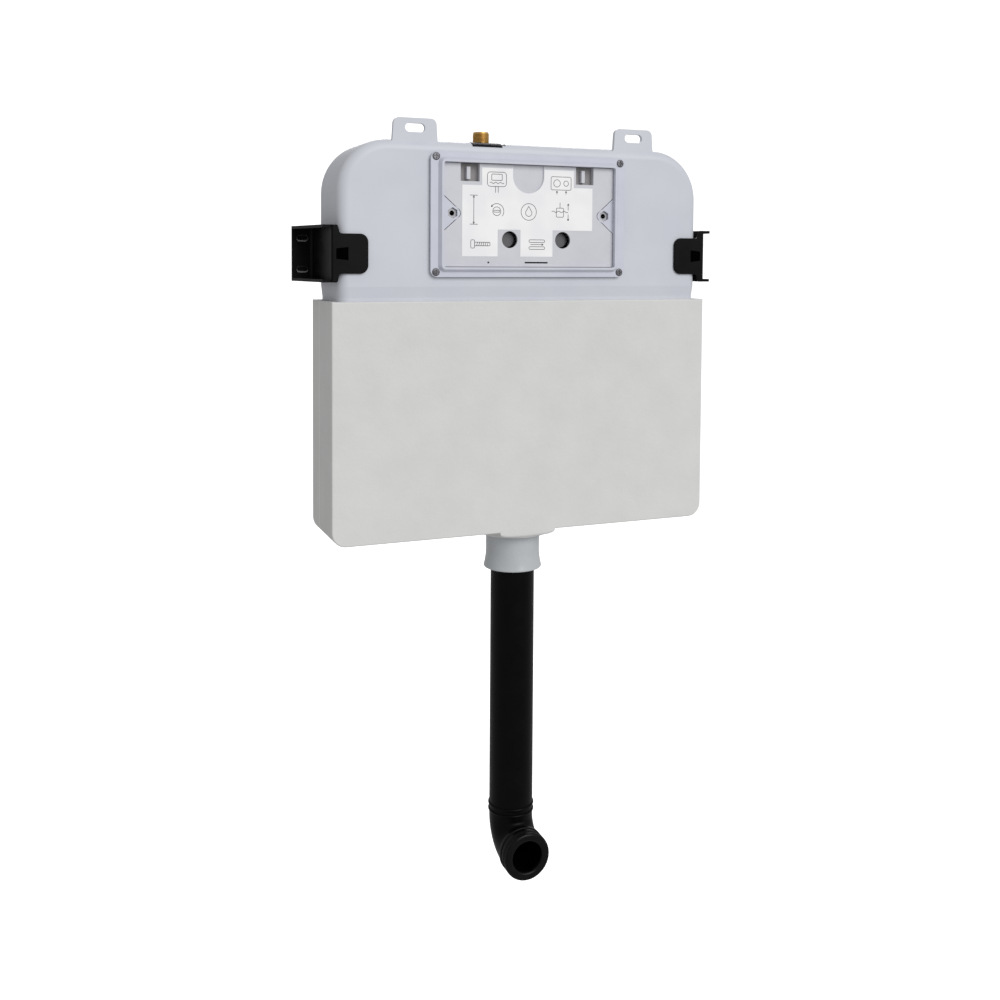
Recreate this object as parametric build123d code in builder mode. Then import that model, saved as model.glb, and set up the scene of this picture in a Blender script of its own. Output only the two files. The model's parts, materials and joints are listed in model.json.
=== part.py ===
from build123d import *
import math
import os

# A slim concealed cistern for building into a wall, worked from the front.
# A blown tank hangs by two slotted tabs, its lower part stands in a foam
# jacket of two shells, and a flush pipe with an elbow leaves it below.
# Millimetres. +X is to the right seen from the front, +Y goes back to the
# wall and +Z goes up. The origin lies midway between the two hanging slots,
# on the back face of the tabs.

# Driving dimensions of the tank
tank_width = 386.0
tank_depth = 74.0
tank_wall = 3.0
tank_corner_radius = 50.0
tank_front_radius = 10.0
tank_back_radius = 5.0
tank_bottom_radius = 4.0
tank_setback = 3.0

# The tank draws in twice: a faint waist above the jacket, then a neck in it.
waist_step_x = 1.0
waist_step_y = 1.2
waist_slope_height = 10.5
waist_above_jacket = 3.5
neck_step_x = 2.0
neck_step_y = 5.8
neck_slope_height = 12.0
neck_below_rim = 6.0

# Hanging tabs
slot_spacing = 235.0
slot_length = 20.0
slot_width = 8.5
slot_above_tank = 11.3
tab_thickness = 4.0
tab_width = 42.5
tab_root_width = 45.5
tab_above_slot = 9.3
tab_corner_radius = 6.0
tab_root_radius = 3.0
tab_root_run = 4.0
tab_root_depth = 9.0

# Foam jacket
jacket_height = 231.0
jacket_thickness = 9.7
jacket_clearance = 0.3
jacket_below_tank_top = 154.0
jacket_corner_radius = 14.0
jacket_edge_radius = 1.5
jacket_seam_depth = 50.0
jacket_seam_chamfer = 1.2
jacket_boss_radius = 38.0
jacket_boss_drop = 7.7
jacket_boss_round = 2.0

# Service opening, its frame and the cover plate
opening_width = 183.5
opening_height = 100.8
opening_corner_radius = 2.0
frame_below_tank_top = 70.7
frame_margin_x = 12.25
frame_margin_z = 9.6
frame_corner_radius = 7.0
frame_flange = 2.5
gasket_thickness = 1.5
gasket_margin = 1.5
rim_height = 4.0
rim_face = 2.2
rim_slope = 2.6
skirt_wall = 1.5
skirt_depth = 12.5
skirt_clearance = 0.5
screw_inset_x = 5.3
screw_inset_z = 4.75
screw_head_radius = 3.6
screw_head_height = 1.6
screw_head_play = 0.3
screw_radius = 1.75
screw_length = 14.0
screw_fit = 0.05
pin_fit = 0.05
recess_width = 1.1
recess_length = 4.6
recess_depth = 0.9
cover_thickness = 2.0
cover_recess = 5.0
cover_gap = 0.5

# Fixing ears of the frame and their captive nuts
ear_half_height = 17.5
ear_reach = 20.0
ear_tip_radius = 4.0
ear_thickness = 2.5
ear_gap = 0.7
ear_above_centre = 1.6
ear_hole_inset = 10.25
nut_flat_width = 9.4
nut_thickness = 4.0
nut_bore_radius = 2.5
nut_play = 0.1
nut_recess = 2.5
nut_pocket_wall = 1.4
nut_pocket_floor = 2.0
stud_way_radius = 3.3

# Openings in the cover plate. Its notch, latches and label sit a little left
# of the opening's middle, and its rod holes to the right of it.
face_offset = -2.2
rod_hole_radius = 8.3
rod_hole_spacing = 57.3
rod_hole_offset = 6.7
rod_hole_below_centre = 23.3
finger_notch_width = 32.5
finger_notch_height = 27.0
finger_notch_depth = 1.2
pry_slot_length = 25.0
pry_slot_width = 1.5
pry_slot_above_sill = 4.6
pin_mark_radius = 1.0
pin_mark_x = -44.4
latch_x = 61.5
latch_width = 19.6
latch_height = 18.5
latch_pocket_wall = 1.2
latch_pocket_depth = 7.0
latch_finger_width = 3.6
latch_finger_height = 12.0
latch_finger_thickness = 2.4
latch_finger_offset = 1.2

# Instruction label, a bare sheet of coated paper
label_thickness = 0.2
label_width = 140.4
label_top_gap = 4.2
label_margin = 1.2
label_drop = 64.0
label_leg_above_sill = 10.5
label_left_leg_width = 37.6
label_tongue_width = 34.8

# Wall brackets at the sides
bracket_height = 53.6
bracket_above_jacket = 18.3
bracket_sheet = 2.8
bracket_side_gap = 4.4
bracket_foot_width = 20.5
bracket_foot_radius = 3.0
bracket_front_rib = 8.1
tongue_reach = 35.4
tongue_height = 37.5
tongue_radius = 8.0
tongue_root_radius = 3.0
tongue_shoulder_radius = 1.5
tongue_shoulder_reach = 6.0
tongue_shoulder_run = 2.0
tongue_edge_chamfer = 0.5
bracket_back_lip = 26.2
bracket_pocket_depth = 2.0
bracket_pocket_from_side = 4.6
bracket_pocket_width = 11.6
bracket_pocket_inner_height = 12.4
bracket_pocket_outer_height = 9.6
bracket_slot_length = 11.0
bracket_slot_width = 5.5
bracket_slot_bridge = 9.8
bracket_rib_thickness = 2.4
bracket_rib_gap = 0.3
bracket_rib_length = 44.0
bracket_rib_spacing = 18.0
bracket_bend_radius = 2.0

# Water inlet and stop valve
inlet_x = -37.5
inlet_radius = 8.33
inlet_bore_radius = 4.5
inlet_height = 13.0
inlet_chamfer = 1.0
inlet_relief_length = 1.5
inlet_relief_depth = 0.9
inlet_plate_width = 26.0
inlet_plate_depth = 26.0
inlet_plate_thickness = 3.0
inlet_plate_corner = 2.0
inlet_pocket_depth = 2.4
inlet_pocket_margin = 1.0
inlet_hole_play = 0.3
inlet_shoulder_radius = 14.0
inlet_shoulder_height = 3.0
inlet_gasket_thickness = 2.0
valve_barrel_radius = 9.0
valve_tail_length = 7.0
valve_branch_radius = 7.5
valve_branch_reach = 24.0
valve_bonnet_radius = 7.0
valve_bonnet_reach = 13.0
spindle_radius = 3.0
spindle_play = 0.08
spindle_length = 12.0
spindle_depth = 7.0
knob_radius = 11.0
knob_length = 9.0
knob_grip_length = 15.0
knob_grip_width = 5.0
knob_grip_height = 5.0
knob_flute_count = 10
knob_flute_radius = 1.6
knob_crown_radius = 8.6
knob_crown_height = 1.0
knob_gap = 1.0
knob_below_lintel = 1.1

# Supply tube and its union nuts
supply_radius = 5.0
supply_bore_radius = 3.6
supply_length = 26.0
union_nut_width = 20.0
union_nut_length = 13.0
union_nut_lip = 3.0
union_play = 0.15

# Fill valve with its float
fill_x = -117.0
fill_head_radius = 14.0
fill_head_height = 27.0
fill_head_above_axis = 13.0
fill_branch_radius = 7.5
fill_branch_reach = 10.0
fill_column_radius = 7.0
fill_column_bore = 4.6
fill_column_length = 190.0
fill_cap_radius = 15.5
fill_cap_height = 6.0
fill_cap_rib_count = 12
fill_cap_rib_radius = 1.2
float_radius = 23.0
float_height = 40.0
float_wall = 2.0
float_play = 0.4
float_below_sill = 26.0
float_travel = 12.0
float_edge_radius = 3.0
arm_pivot_dx = 14.0
arm_pivot_dy = -17.0
arm_drop = 7.0
arm_length = 28.0
arm_thickness = 4.0
arm_half_height = 2.5
arm_boss_radius = 4.5
arm_tip_extra = 4.0
arm_pin_radius = 1.5
arm_pin_play = 0.06
arm_lug_width = 8.0
arm_side_play = 0.3
float_rod_width = 4.0
float_rod_thickness = 9.0
float_rod_side = 2.2
float_rod_foot = 4.0
float_window_top = 4.9
float_window_bottom = 3.4
float_rod_head = 3.0

# Flush levers and the carrier that holds them
carrier_below_knob = 4.1
pivot_behind_cover = 12.0
lever_width = 5.0
lever_boss_radius = 5.0
lever_arm_half = 3.0
lever_arm_length = 32.0
lever_tip_extra = 4.0
pad_radius = 7.0
pad_thickness = 2.0
pad_gap = 5.0
pad_arm_width = 5.0
lever_pin_radius = 2.0
lever_pin_play = 0.06
lever_side_play = 0.3
carrier_ear_width = 3.0
carrier_ear_depth = 8.0
carrier_ear_drop = 4.0
carrier_ear_rise = 6.5
carrier_bar_height = 6.0
carrier_bar_depth = 10.0
carrier_end_gap = 0.1
carrier_rib_height = 2.0
carrier_rib_width = 2.0

# Lift rods
lift_travel = 13.83
rod_sheet = 3.0
rod_head_width = 12.0
rod_window_width = 6.0
rod_window_top_gap = 0.3
rod_window_bottom_gap = 3.0
rod_head_height = 4.0
rod_strip_width = 8.0
rod_foot_width = 12.0
rod_foot_thickness = 3.0
rod_peg_radius = 1.6
rod_peg_length = 5.0
rod_peg_play = 0.1

# Flush valve
pipe_radius = 22.5
pipe_wall = 2.5
tail_radius = 22.0
tail_wall = 2.0
tail_length = 30.0
tail_play = 0.3
seat_flange_radius = 25.5
seat_flange_height = 4.0
seat_gasket_thickness = 3.0
seat_rim_height = 3.0
seat_rim_wall = 2.0
basket_radius = 25.5
basket_wall = 2.0
basket_height = 65.0
basket_window_height = 30.0
basket_window_sill = 5.0
basket_window_count = 4
basket_bar_width = 8.0
basket_cap_height = 4.0
sleeve_radius = 17.0
sleeve_wall = 2.0
sleeve_length = 105.0
sleeve_guide_play = 0.3
sleeve_flange_radius = 22.0
sleeve_flange_height = 3.0
sleeve_lip_radius = 18.0
sleeve_lip_height = 1.5
main_seal_radius = 23.0
main_seal_thickness = 3.0
seal_play = 0.05
sleeve_ear_below_rim = 20.0
ear_plate_thickness = 4.0
ear_plate_margin = 5.0
tube_radius = 12.0
tube_wall = 1.5
tube_flange_radius = 18.5
tube_flange_height = 3.0
half_seal_thickness = 2.5
half_seal_radius = 18.0
tube_guide_length = 24.0
tube_fin_count = 3
tube_fin_thickness = 2.0
tube_fin_play = 0.3
overflow_below_sill = 9.0
tube_ear_below_rim = 20.0

# Outlet collar and flush pipe
collar_radius = 27.5
collar_flare_radius = 29.8
collar_mouth_radius = 23.8
collar_length = 56.7
collar_straight_length = 22.0
collar_mouth_height = 6.5
collar_top_gap = 0.3
collar_socket_play = 0.3
collar_hole_play = 0.3
pipe_entry_gap = 1.5
seal_groove_drop = 7.0
seal_groove_height = 6.0
seal_groove_depth = 2.7
seal_ring_play = 0.1
pipe_drop = 311.0
elbow_radius = 26.0
elbow_reach = 42.0
bead_rise = 1.5
bead_sink = 0.3
bead_spacing = 6.4
bead_above_bend = 6.0
end_seal_radius = 24.3
end_seal_waist_radius = 23.4
end_seal_bore_radius = 14.0
end_seal_length = 18.0
end_seal_lip = 3.6
end_seal_ring = 4.5
end_seal_band = 7.0
end_seal_round = 1.6
end_seal_play = 0.1

# One overrun serves all cuts that run through a face.
overrun = 1.0

# Depths, counted back from the tab's back face
tank_front_y = -tab_thickness - tank_setback
tank_back_y = tank_front_y + tank_depth
waist_width = tank_width - 2 * waist_step_x
waist_depth = tank_depth - 2 * waist_step_y
lower_width = waist_width - 2 * neck_step_x
lower_depth = waist_depth - 2 * neck_step_y
jacket_width = lower_width + 2 * (jacket_thickness + jacket_clearance)
jacket_depth = lower_depth + 2 * (jacket_thickness + jacket_clearance)
jacket_front_y = tank_front_y - (jacket_depth - tank_depth) / 2
wall_y = jacket_front_y + jacket_depth
axis_y = jacket_front_y + jacket_depth / 2
seam_y = jacket_front_y + jacket_seam_depth
flange_back_y = tank_front_y - gasket_thickness
flange_front_y = flange_back_y - frame_flange
rim_front_y = flange_front_y - rim_height
cover_front_y = rim_front_y + cover_recess
cover_back_y = cover_front_y + cover_thickness

# Levels, counted down from the slots
tank_top_z = -slot_above_tank
jacket_top_z = tank_top_z - jacket_below_tank_top
jacket_bottom_z = jacket_top_z - jacket_height
tank_bottom_z = jacket_bottom_z + jacket_thickness + jacket_clearance
tank_floor_z = tank_bottom_z + tank_wall
waist_z = jacket_top_z + waist_above_jacket
shoulder_z = waist_z + waist_slope_height
neck_top_z = jacket_top_z - neck_below_rim
neck_bottom_z = neck_top_z - neck_slope_height
frame_z = tank_top_z - frame_below_tank_top
sill_z = frame_z - opening_height / 2
lintel_z = frame_z + opening_height / 2
roof_z = tank_top_z - inlet_pocket_depth - tank_wall

# The frame follows the opening, and its screws follow the frame.
frame_width = opening_width + 2 * frame_margin_x
frame_height = opening_height + 2 * frame_margin_z
screw_spacing_x = frame_width - 2 * screw_inset_x
screw_spacing_z = frame_height - 2 * screw_inset_z
ear_hole_spacing = opening_width - 2 * ear_hole_inset


def depth_plane(y):
    """The upright plane at depth y, drawn as seen from the front."""
    return Plane.XZ.offset(-y)


def side_plane(x):
    """The upright plane at x, with y across the page and z up it."""
    return Plane.YZ.offset(x)


def plan_axis(x, y):
    """The upright line through a point of the plan."""
    return Axis((x, y, 0), (0, 0, 1))


def finish(builder, label):
    """Names a finished piece and writes it."""
    builder.part.label = label
    export_step(builder.part, f"parts/{label}.step")


os.makedirs("parts", exist_ok=True)


# Tank: one blown shell with a service opening, an inlet pocket and two tabs


def tank_section(z, width, depth, inset):
    """A level cut of the tank: rounder at the front corners than at the back."""
    with BuildSketch(Plane.XY.offset(z)) as section:
        with Locations((0, axis_y)):
            Rectangle(width - 2 * inset, depth - 2 * inset)
        fillet(section.vertices().group_by(Axis.Y)[0], tank_front_radius - inset)
        fillet(section.vertices().group_by(Axis.Y)[-1], tank_back_radius - inset)
    return section.sketch


def tank_form(inset):
    """The tank's solid form, drawn in by inset on every side.

    The broad upper part has large top corners. A faint slope leads to the
    waist, and a steeper one inside the jacket to the slim lower part.
    """
    top = tank_top_z - inset
    bottom = tank_bottom_z + inset
    with BuildPart() as form:
        with BuildSketch(depth_plane(tank_front_y + inset)) as outline:
            with Locations((0, (top + shoulder_z) / 2)):
                Rectangle(tank_width - 2 * inset, top - shoulder_z)
            fillet(outline.vertices().group_by(Axis.Y)[-1], tank_corner_radius - inset)
        extrude(amount=-(tank_depth - 2 * inset))
        front_edges = form.faces().sort_by(Axis.Y)[0].edges().sort_by(Axis.Z)[1:]
        back_edges = form.faces().sort_by(Axis.Y)[-1].edges().sort_by(Axis.Z)[1:]
        fillet(front_edges, tank_front_radius - inset)
        fillet(back_edges, tank_back_radius - inset)
        loft([
            tank_section(shoulder_z, tank_width, tank_depth, inset),
            tank_section(waist_z, waist_width, waist_depth, inset),
        ])
        extrude(
            tank_section(waist_z, waist_width, waist_depth, inset),
            amount=neck_top_z - waist_z,
        )
        loft([
            tank_section(neck_top_z, waist_width, waist_depth, inset),
            tank_section(neck_bottom_z, lower_width, lower_depth, inset),
        ])
        extrude(
            tank_section(neck_bottom_z, lower_width, lower_depth, inset),
            amount=bottom - neck_bottom_z,
        )
        fillet(form.faces().sort_by(Axis.Z)[0].edges(), tank_bottom_radius - inset)
    return form.part


pocket_width = inlet_plate_width + 2 * inlet_pocket_margin
pocket_back_y = axis_y + inlet_plate_depth / 2 + inlet_pocket_margin
pocket_floor_z = tank_top_z - inlet_pocket_depth

with BuildPart() as tank_cavity:
    add(tank_form(tank_wall))
    with BuildSketch(Plane.XY.offset(roof_z)):
        with Locations((inlet_x, (tank_front_y + pocket_back_y + tank_wall) / 2)):
            Rectangle(pocket_width + 2 * tank_wall, pocket_back_y + tank_wall - tank_front_y)
    extrude(amount=tank_top_z - roof_z, mode=Mode.SUBTRACT)

with BuildPart() as tank:
    add(tank_form(0))
    for side in (-1, 1):
        tab_x = side * slot_spacing / 2
        with BuildSketch(depth_plane(-tab_thickness)) as tab:
            root_z = tank_top_z - tank_setback
            with BuildLine():
                Polyline(
                    (tab_x - tab_root_width / 2 - tab_root_run, root_z - tab_root_depth),
                    (tab_x - tab_root_width / 2 - tab_root_run, root_z),
                    (tab_x - tab_root_width / 2, root_z),
                    (tab_x - tab_width / 2, tab_above_slot),
                    (tab_x + tab_width / 2, tab_above_slot),
                    (tab_x + tab_root_width / 2, root_z),
                    (tab_x + tab_root_width / 2 + tab_root_run, root_z),
                    (tab_x + tab_root_width / 2 + tab_root_run, root_z - tab_root_depth),
                    close=True,
                )
            make_face()
            fillet(tab.vertices().group_by(Axis.Y)[-1], tab_corner_radius)
            inner_corners = tab.vertices().filter_by_position(
                Axis.Y, root_z - tab_root_run / 2, root_z + tab_root_run / 2
            ).filter_by_position(
                Axis.X,
                tab_x - tab_root_width / 2 - tab_root_run / 2,
                tab_x + tab_root_width / 2 + tab_root_run / 2,
            )
            fillet(inner_corners, tab_root_radius)
        extrude(amount=-tab_thickness)
    add(tank_cavity.part, mode=Mode.SUBTRACT)
    with BuildSketch(depth_plane(tank_front_y - overrun)):
        with Locations((-slot_spacing / 2, 0), (slot_spacing / 2, 0)):
            SlotOverall(slot_length, slot_width)
    extrude(amount=-(tank_wall + tab_thickness + 2 * overrun), mode=Mode.SUBTRACT)
    with BuildSketch(Plane.XY.offset(pocket_floor_z)):
        with Locations((inlet_x, (tank_front_y - overrun + pocket_back_y) / 2)):
            Rectangle(pocket_width, pocket_back_y - tank_front_y + overrun)
    extrude(amount=inlet_pocket_depth + overrun, mode=Mode.SUBTRACT)
    with BuildSketch(Plane.XY.offset(roof_z - overrun)):
        with Locations((inlet_x, axis_y)):
            Circle(inlet_radius + inlet_hole_play)
    extrude(amount=tank_wall + 2 * overrun, mode=Mode.SUBTRACT)
    with BuildSketch(Plane.XY.offset(tank_bottom_z - overrun)):
        with Locations((0, axis_y)):
            Circle(tail_radius + tail_play)
    extrude(amount=tank_wall + 2 * overrun, mode=Mode.SUBTRACT)
    with BuildSketch(depth_plane(tank_front_y - overrun)):
        with Locations((0, frame_z)):
            RectangleRounded(
                opening_width + 2 * (skirt_wall + skirt_clearance),
                opening_height + 2 * (skirt_wall + skirt_clearance),
                opening_corner_radius + skirt_wall,
            )
            with GridLocations(screw_spacing_x, screw_spacing_z, 2, 2):
                Circle(screw_radius + screw_fit)
    extrude(amount=-(tank_wall + 2 * overrun), mode=Mode.SUBTRACT)
finish(tank, "tank")


# Foam jacket: two shells that meet on a plane behind the middle


def jacket_form():
    """The whole jacket: an open-topped box with a round boss at the outlet."""
    with BuildPart() as form:
        with BuildSketch(depth_plane(jacket_front_y)) as outline:
            with Locations((0, jacket_top_z - jacket_height / 2)):
                Rectangle(jacket_width, jacket_height)
            fillet(outline.vertices().group_by(Axis.Y)[0], jacket_corner_radius)
        extrude(amount=-jacket_depth)
        fillet(form.faces().sort_by(Axis.Y)[0].edges(), jacket_edge_radius)
        fillet(form.faces().sort_by(Axis.Y)[-1].edges(), jacket_edge_radius)
        with BuildSketch(Plane.XY.offset(jacket_bottom_z)):
            with Locations((0, axis_y)):
                Circle(jacket_boss_radius)
        extrude(amount=-jacket_boss_drop)
        fillet(form.faces().sort_by(Axis.Z)[0].edges(), jacket_boss_round)
        # The hollow follows the tank's lower part, its neck and its waist.
        hollow_floor_z = tank_bottom_z - jacket_clearance
        extrude(
            tank_section(hollow_floor_z, lower_width, lower_depth, -jacket_clearance),
            amount=neck_bottom_z - hollow_floor_z,
            mode=Mode.SUBTRACT,
        )
        loft(
            [
                tank_section(neck_bottom_z, lower_width, lower_depth, -jacket_clearance),
                tank_section(neck_top_z, waist_width, waist_depth, -jacket_clearance),
            ],
            mode=Mode.SUBTRACT,
        )
        extrude(
            tank_section(neck_top_z, waist_width, waist_depth, -jacket_clearance),
            amount=neck_below_rim + overrun,
            mode=Mode.SUBTRACT,
        )
        with BuildSketch(Plane.XY.offset(jacket_bottom_z - jacket_boss_drop - overrun)):
            with Locations((0, axis_y)):
                Circle(collar_radius + collar_hole_play)
        extrude(amount=jacket_boss_drop + jacket_thickness + 2 * overrun, mode=Mode.SUBTRACT)
    return form.part


jacket_whole = jacket_form()

with BuildPart() as jacket_front:
    add(jacket_whole)
    split(bisect_by=depth_plane(seam_y), keep=Keep.TOP)
finish(jacket_front, "jacket_front")

with BuildPart() as jacket_rear:
    add(jacket_whole)
    split(bisect_by=depth_plane(seam_y), keep=Keep.BOTTOM)
    side_edges = jacket_rear.faces().sort_by(Axis.Y)[0].edges().filter_by(Axis.Z)
    outer_edges = side_edges.sort_by(Axis.X)
    chamfer([outer_edges[0], outer_edges[-1]], jacket_seam_chamfer)
finish(jacket_rear, "jacket_rear")


# Frame of the service opening, screwed to the tank over a gasket

skirt_width = opening_width + 2 * skirt_wall
skirt_height = opening_height + 2 * skirt_wall
ear_z = frame_z + ear_above_centre
ear_root_x = opening_width / 2
ear_tip_x = ear_root_x - ear_reach
ear_lean = math.atan2(ear_half_height, ear_reach)
nut_pocket_radius = (nut_flat_width / 2 + nut_play) / math.cos(math.pi / 6)
nut_front_y = cover_front_y + nut_recess
nut_back_y = nut_front_y + nut_thickness


def ear_outline(side, gap):
    """The ear's triangle in the frame's plane, grown by gap on its sides."""
    root_x = side * (ear_root_x + skirt_wall / 2)
    grow_root = gap / math.cos(ear_lean)
    grow_tip = gap / math.sin(ear_lean)
    with BuildSketch() as outline:
        with BuildLine():
            Polyline(
                (root_x, ear_z + ear_half_height + grow_root),
                (side * ear_root_x, ear_z + ear_half_height + grow_root),
                (side * (ear_tip_x - grow_tip), ear_z),
                (side * ear_root_x, ear_z - ear_half_height - grow_root),
                (root_x, ear_z - ear_half_height - grow_root),
                close=True,
            )
        make_face()
        tip = outline.vertices().sort_by(Axis.X)[0 if side > 0 else -1]
        fillet(tip, ear_tip_radius + gap)
    return outline.sketch


with BuildPart() as access_frame:
    with BuildSketch(depth_plane(flange_back_y)):
        with Locations((0, frame_z)):
            RectangleRounded(frame_width, frame_height, frame_corner_radius)
    extrude(amount=frame_flange)
    with BuildSketch(depth_plane(flange_front_y)):
        with Locations((0, frame_z)):
            RectangleRounded(
                opening_width + 2 * (rim_face + rim_slope),
                opening_height + 2 * (rim_face + rim_slope),
                opening_corner_radius + rim_face + rim_slope,
            )
    with BuildSketch(depth_plane(rim_front_y)):
        with Locations((0, frame_z)):
            RectangleRounded(
                opening_width + 2 * rim_face,
                opening_height + 2 * rim_face,
                opening_corner_radius + rim_face,
            )
    loft()
    with BuildSketch(depth_plane(flange_back_y)):
        with Locations((0, frame_z)):
            RectangleRounded(skirt_width, skirt_height, opening_corner_radius + skirt_wall)
    extrude(amount=-skirt_depth)
    with BuildSketch(depth_plane(rim_front_y - overrun)):
        with Locations((0, frame_z)):
            RectangleRounded(opening_width, opening_height, opening_corner_radius)
    extrude(
        amount=-(rim_height + frame_flange + skirt_depth + 2 * overrun),
        mode=Mode.SUBTRACT,
    )
    for side in (-1, 1):
        with BuildSketch(depth_plane(cover_front_y)):
            add(ear_outline(side, 0))
        extrude(amount=-ear_thickness)
        with BuildSketch(depth_plane(cover_front_y)):
            with Locations((side * ear_hole_spacing / 2, ear_z)):
                Circle(nut_pocket_radius + nut_pocket_wall)
        extrude(amount=-(nut_recess + nut_thickness + nut_pocket_floor))
        with BuildSketch(depth_plane(cover_front_y - overrun)):
            with Locations((side * ear_hole_spacing / 2, ear_z)):
                RegularPolygon(nut_pocket_radius, 6, rotation=30)
        extrude(amount=-(overrun + nut_recess + nut_thickness), mode=Mode.SUBTRACT)
        with BuildSketch(depth_plane(nut_back_y)):
            with Locations((side * ear_hole_spacing / 2, ear_z)):
                Circle(stud_way_radius)
        extrude(amount=-(nut_pocket_floor + overrun), mode=Mode.SUBTRACT)
    with BuildSketch(depth_plane(flange_front_y - overrun)):
        with Locations((0, frame_z)):
            with GridLocations(screw_spacing_x, screw_spacing_z, 2, 2):
                Circle(screw_head_radius + screw_head_play)
    extrude(amount=-(overrun + screw_head_height / 2), mode=Mode.SUBTRACT)
    with BuildSketch(depth_plane(flange_front_y - overrun)):
        with Locations((0, frame_z)):
            with GridLocations(screw_spacing_x, screw_spacing_z, 2, 2):
                Circle(screw_radius + screw_fit)
    extrude(amount=-(frame_flange + 2 * overrun), mode=Mode.SUBTRACT)
finish(access_frame, "access_frame")

with BuildPart() as frame_gasket:
    with BuildSketch(depth_plane(flange_back_y)):
        with Locations((0, frame_z)):
            RectangleRounded(
                frame_width - 2 * gasket_margin,
                frame_height - 2 * gasket_margin,
                frame_corner_radius,
            )
            RectangleRounded(
                skirt_width + 2 * skirt_clearance,
                skirt_height + 2 * skirt_clearance,
                opening_corner_radius + skirt_wall,
                mode=Mode.SUBTRACT,
            )
            with GridLocations(screw_spacing_x, screw_spacing_z, 2, 2):
                Circle(screw_radius + screw_fit, mode=Mode.SUBTRACT)
    extrude(amount=-gasket_thickness)
finish(frame_gasket, "frame_gasket")

screw_seat_y = flange_front_y + screw_head_height / 2
with BuildPart() as frame_screws:
    with BuildSketch(depth_plane(screw_seat_y)):
        with Locations((0, frame_z)):
            with GridLocations(screw_spacing_x, screw_spacing_z, 2, 2):
                Circle(screw_head_radius)
    extrude(amount=screw_head_height)
    head_rims = frame_screws.faces().group_by(Axis.Y)[0].edges()
    fillet(head_rims, screw_head_height / 2)
    with BuildSketch(depth_plane(screw_seat_y)):
        with Locations((0, frame_z)):
            with GridLocations(screw_spacing_x, screw_spacing_z, 2, 2):
                Circle(screw_radius)
    extrude(amount=-screw_length)
    with BuildSketch(depth_plane(screw_seat_y - screw_head_height)):
        with Locations((0, frame_z)):
            with GridLocations(screw_spacing_x, screw_spacing_z, 2, 2):
                Rectangle(recess_length, recess_width)
                Rectangle(recess_width, recess_length)
    extrude(amount=-recess_depth, mode=Mode.SUBTRACT)
finish(frame_screws, "frame_screws")

with BuildPart() as plate_fixing_nuts:
    with BuildSketch(depth_plane(nut_front_y)):
        with Locations((-ear_hole_spacing / 2, ear_z), (ear_hole_spacing / 2, ear_z)):
            RegularPolygon(nut_flat_width / 2 / math.cos(math.pi / 6), 6, rotation=30)
            Circle(nut_bore_radius, mode=Mode.SUBTRACT)
    extrude(amount=-nut_thickness)
finish(plate_fixing_nuts, "plate_fixing_nuts")


# Cover plate that lifts out of the frame, with the label on its face

rod_hole_z = frame_z - rod_hole_below_centre
rod_hole_left_x = rod_hole_offset - rod_hole_spacing / 2
rod_hole_right_x = rod_hole_offset + rod_hole_spacing / 2
cover_top_z = lintel_z - cover_gap
cover_bottom_z = sill_z + cover_gap
latch_z = cover_top_z - latch_height / 2
latch_places = [(face_offset - latch_x, latch_z), (face_offset + latch_x, latch_z)]
pry_slot_z = sill_z + pry_slot_above_sill

with BuildPart() as cover_plate:
    with BuildSketch(depth_plane(cover_front_y)):
        with Locations((0, frame_z)):
            RectangleRounded(
                opening_width - 2 * cover_gap,
                opening_height - 2 * cover_gap,
                opening_corner_radius - cover_gap,
            )
        for side in (-1, 1):
            add(ear_outline(side, ear_gap), mode=Mode.SUBTRACT)
        with Locations((rod_hole_left_x, rod_hole_z), (rod_hole_right_x, rod_hole_z)):
            Circle(rod_hole_radius, mode=Mode.SUBTRACT)
        with Locations((rod_hole_offset, pry_slot_z)):
            Rectangle(pry_slot_length, pry_slot_width, mode=Mode.SUBTRACT)
        with Locations((pin_mark_x, pry_slot_z)):
            Circle(pin_mark_radius, mode=Mode.SUBTRACT)
        with Locations(latch_places):
            Rectangle(latch_width, latch_height, mode=Mode.SUBTRACT)
    extrude(amount=-cover_thickness)
    # The sprung latches stand in pockets open to the front.
    with BuildSketch(depth_plane(cover_front_y)):
        with Locations(latch_places):
            Rectangle(latch_width + 2 * latch_pocket_wall, latch_height)
            Rectangle(latch_width, latch_height, mode=Mode.SUBTRACT)
            with Locations((0, -latch_height / 2)):
                Rectangle(latch_width + 2 * latch_pocket_wall, 2 * latch_pocket_wall)
    extrude(amount=-latch_pocket_depth)
    with BuildSketch(depth_plane(cover_front_y + latch_pocket_depth)):
        with Locations(latch_places):
            Rectangle(latch_width + 2 * latch_pocket_wall, latch_height)
    extrude(amount=latch_pocket_wall)
    with BuildSketch(depth_plane(cover_front_y + latch_pocket_depth)):
        with Locations(latch_places):
            with Locations((-latch_finger_offset, 0)):
                Rectangle(latch_finger_width, latch_finger_height)
    extrude(amount=latch_pocket_depth - cover_thickness / 2)
    # A shallow round-bottomed notch at the top gives the finger a hold.
    with BuildSketch(depth_plane(cover_front_y - overrun)):
        notch_straight = finger_notch_height - finger_notch_width / 2
        with Locations((face_offset, cover_top_z - notch_straight / 2 + overrun / 2)):
            Rectangle(finger_notch_width, notch_straight + overrun)
        with Locations((face_offset, cover_top_z - notch_straight)):
            Circle(finger_notch_width / 2)
    extrude(amount=-(overrun + finger_notch_depth), mode=Mode.SUBTRACT)
finish(cover_plate, "cover_plate")

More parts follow.
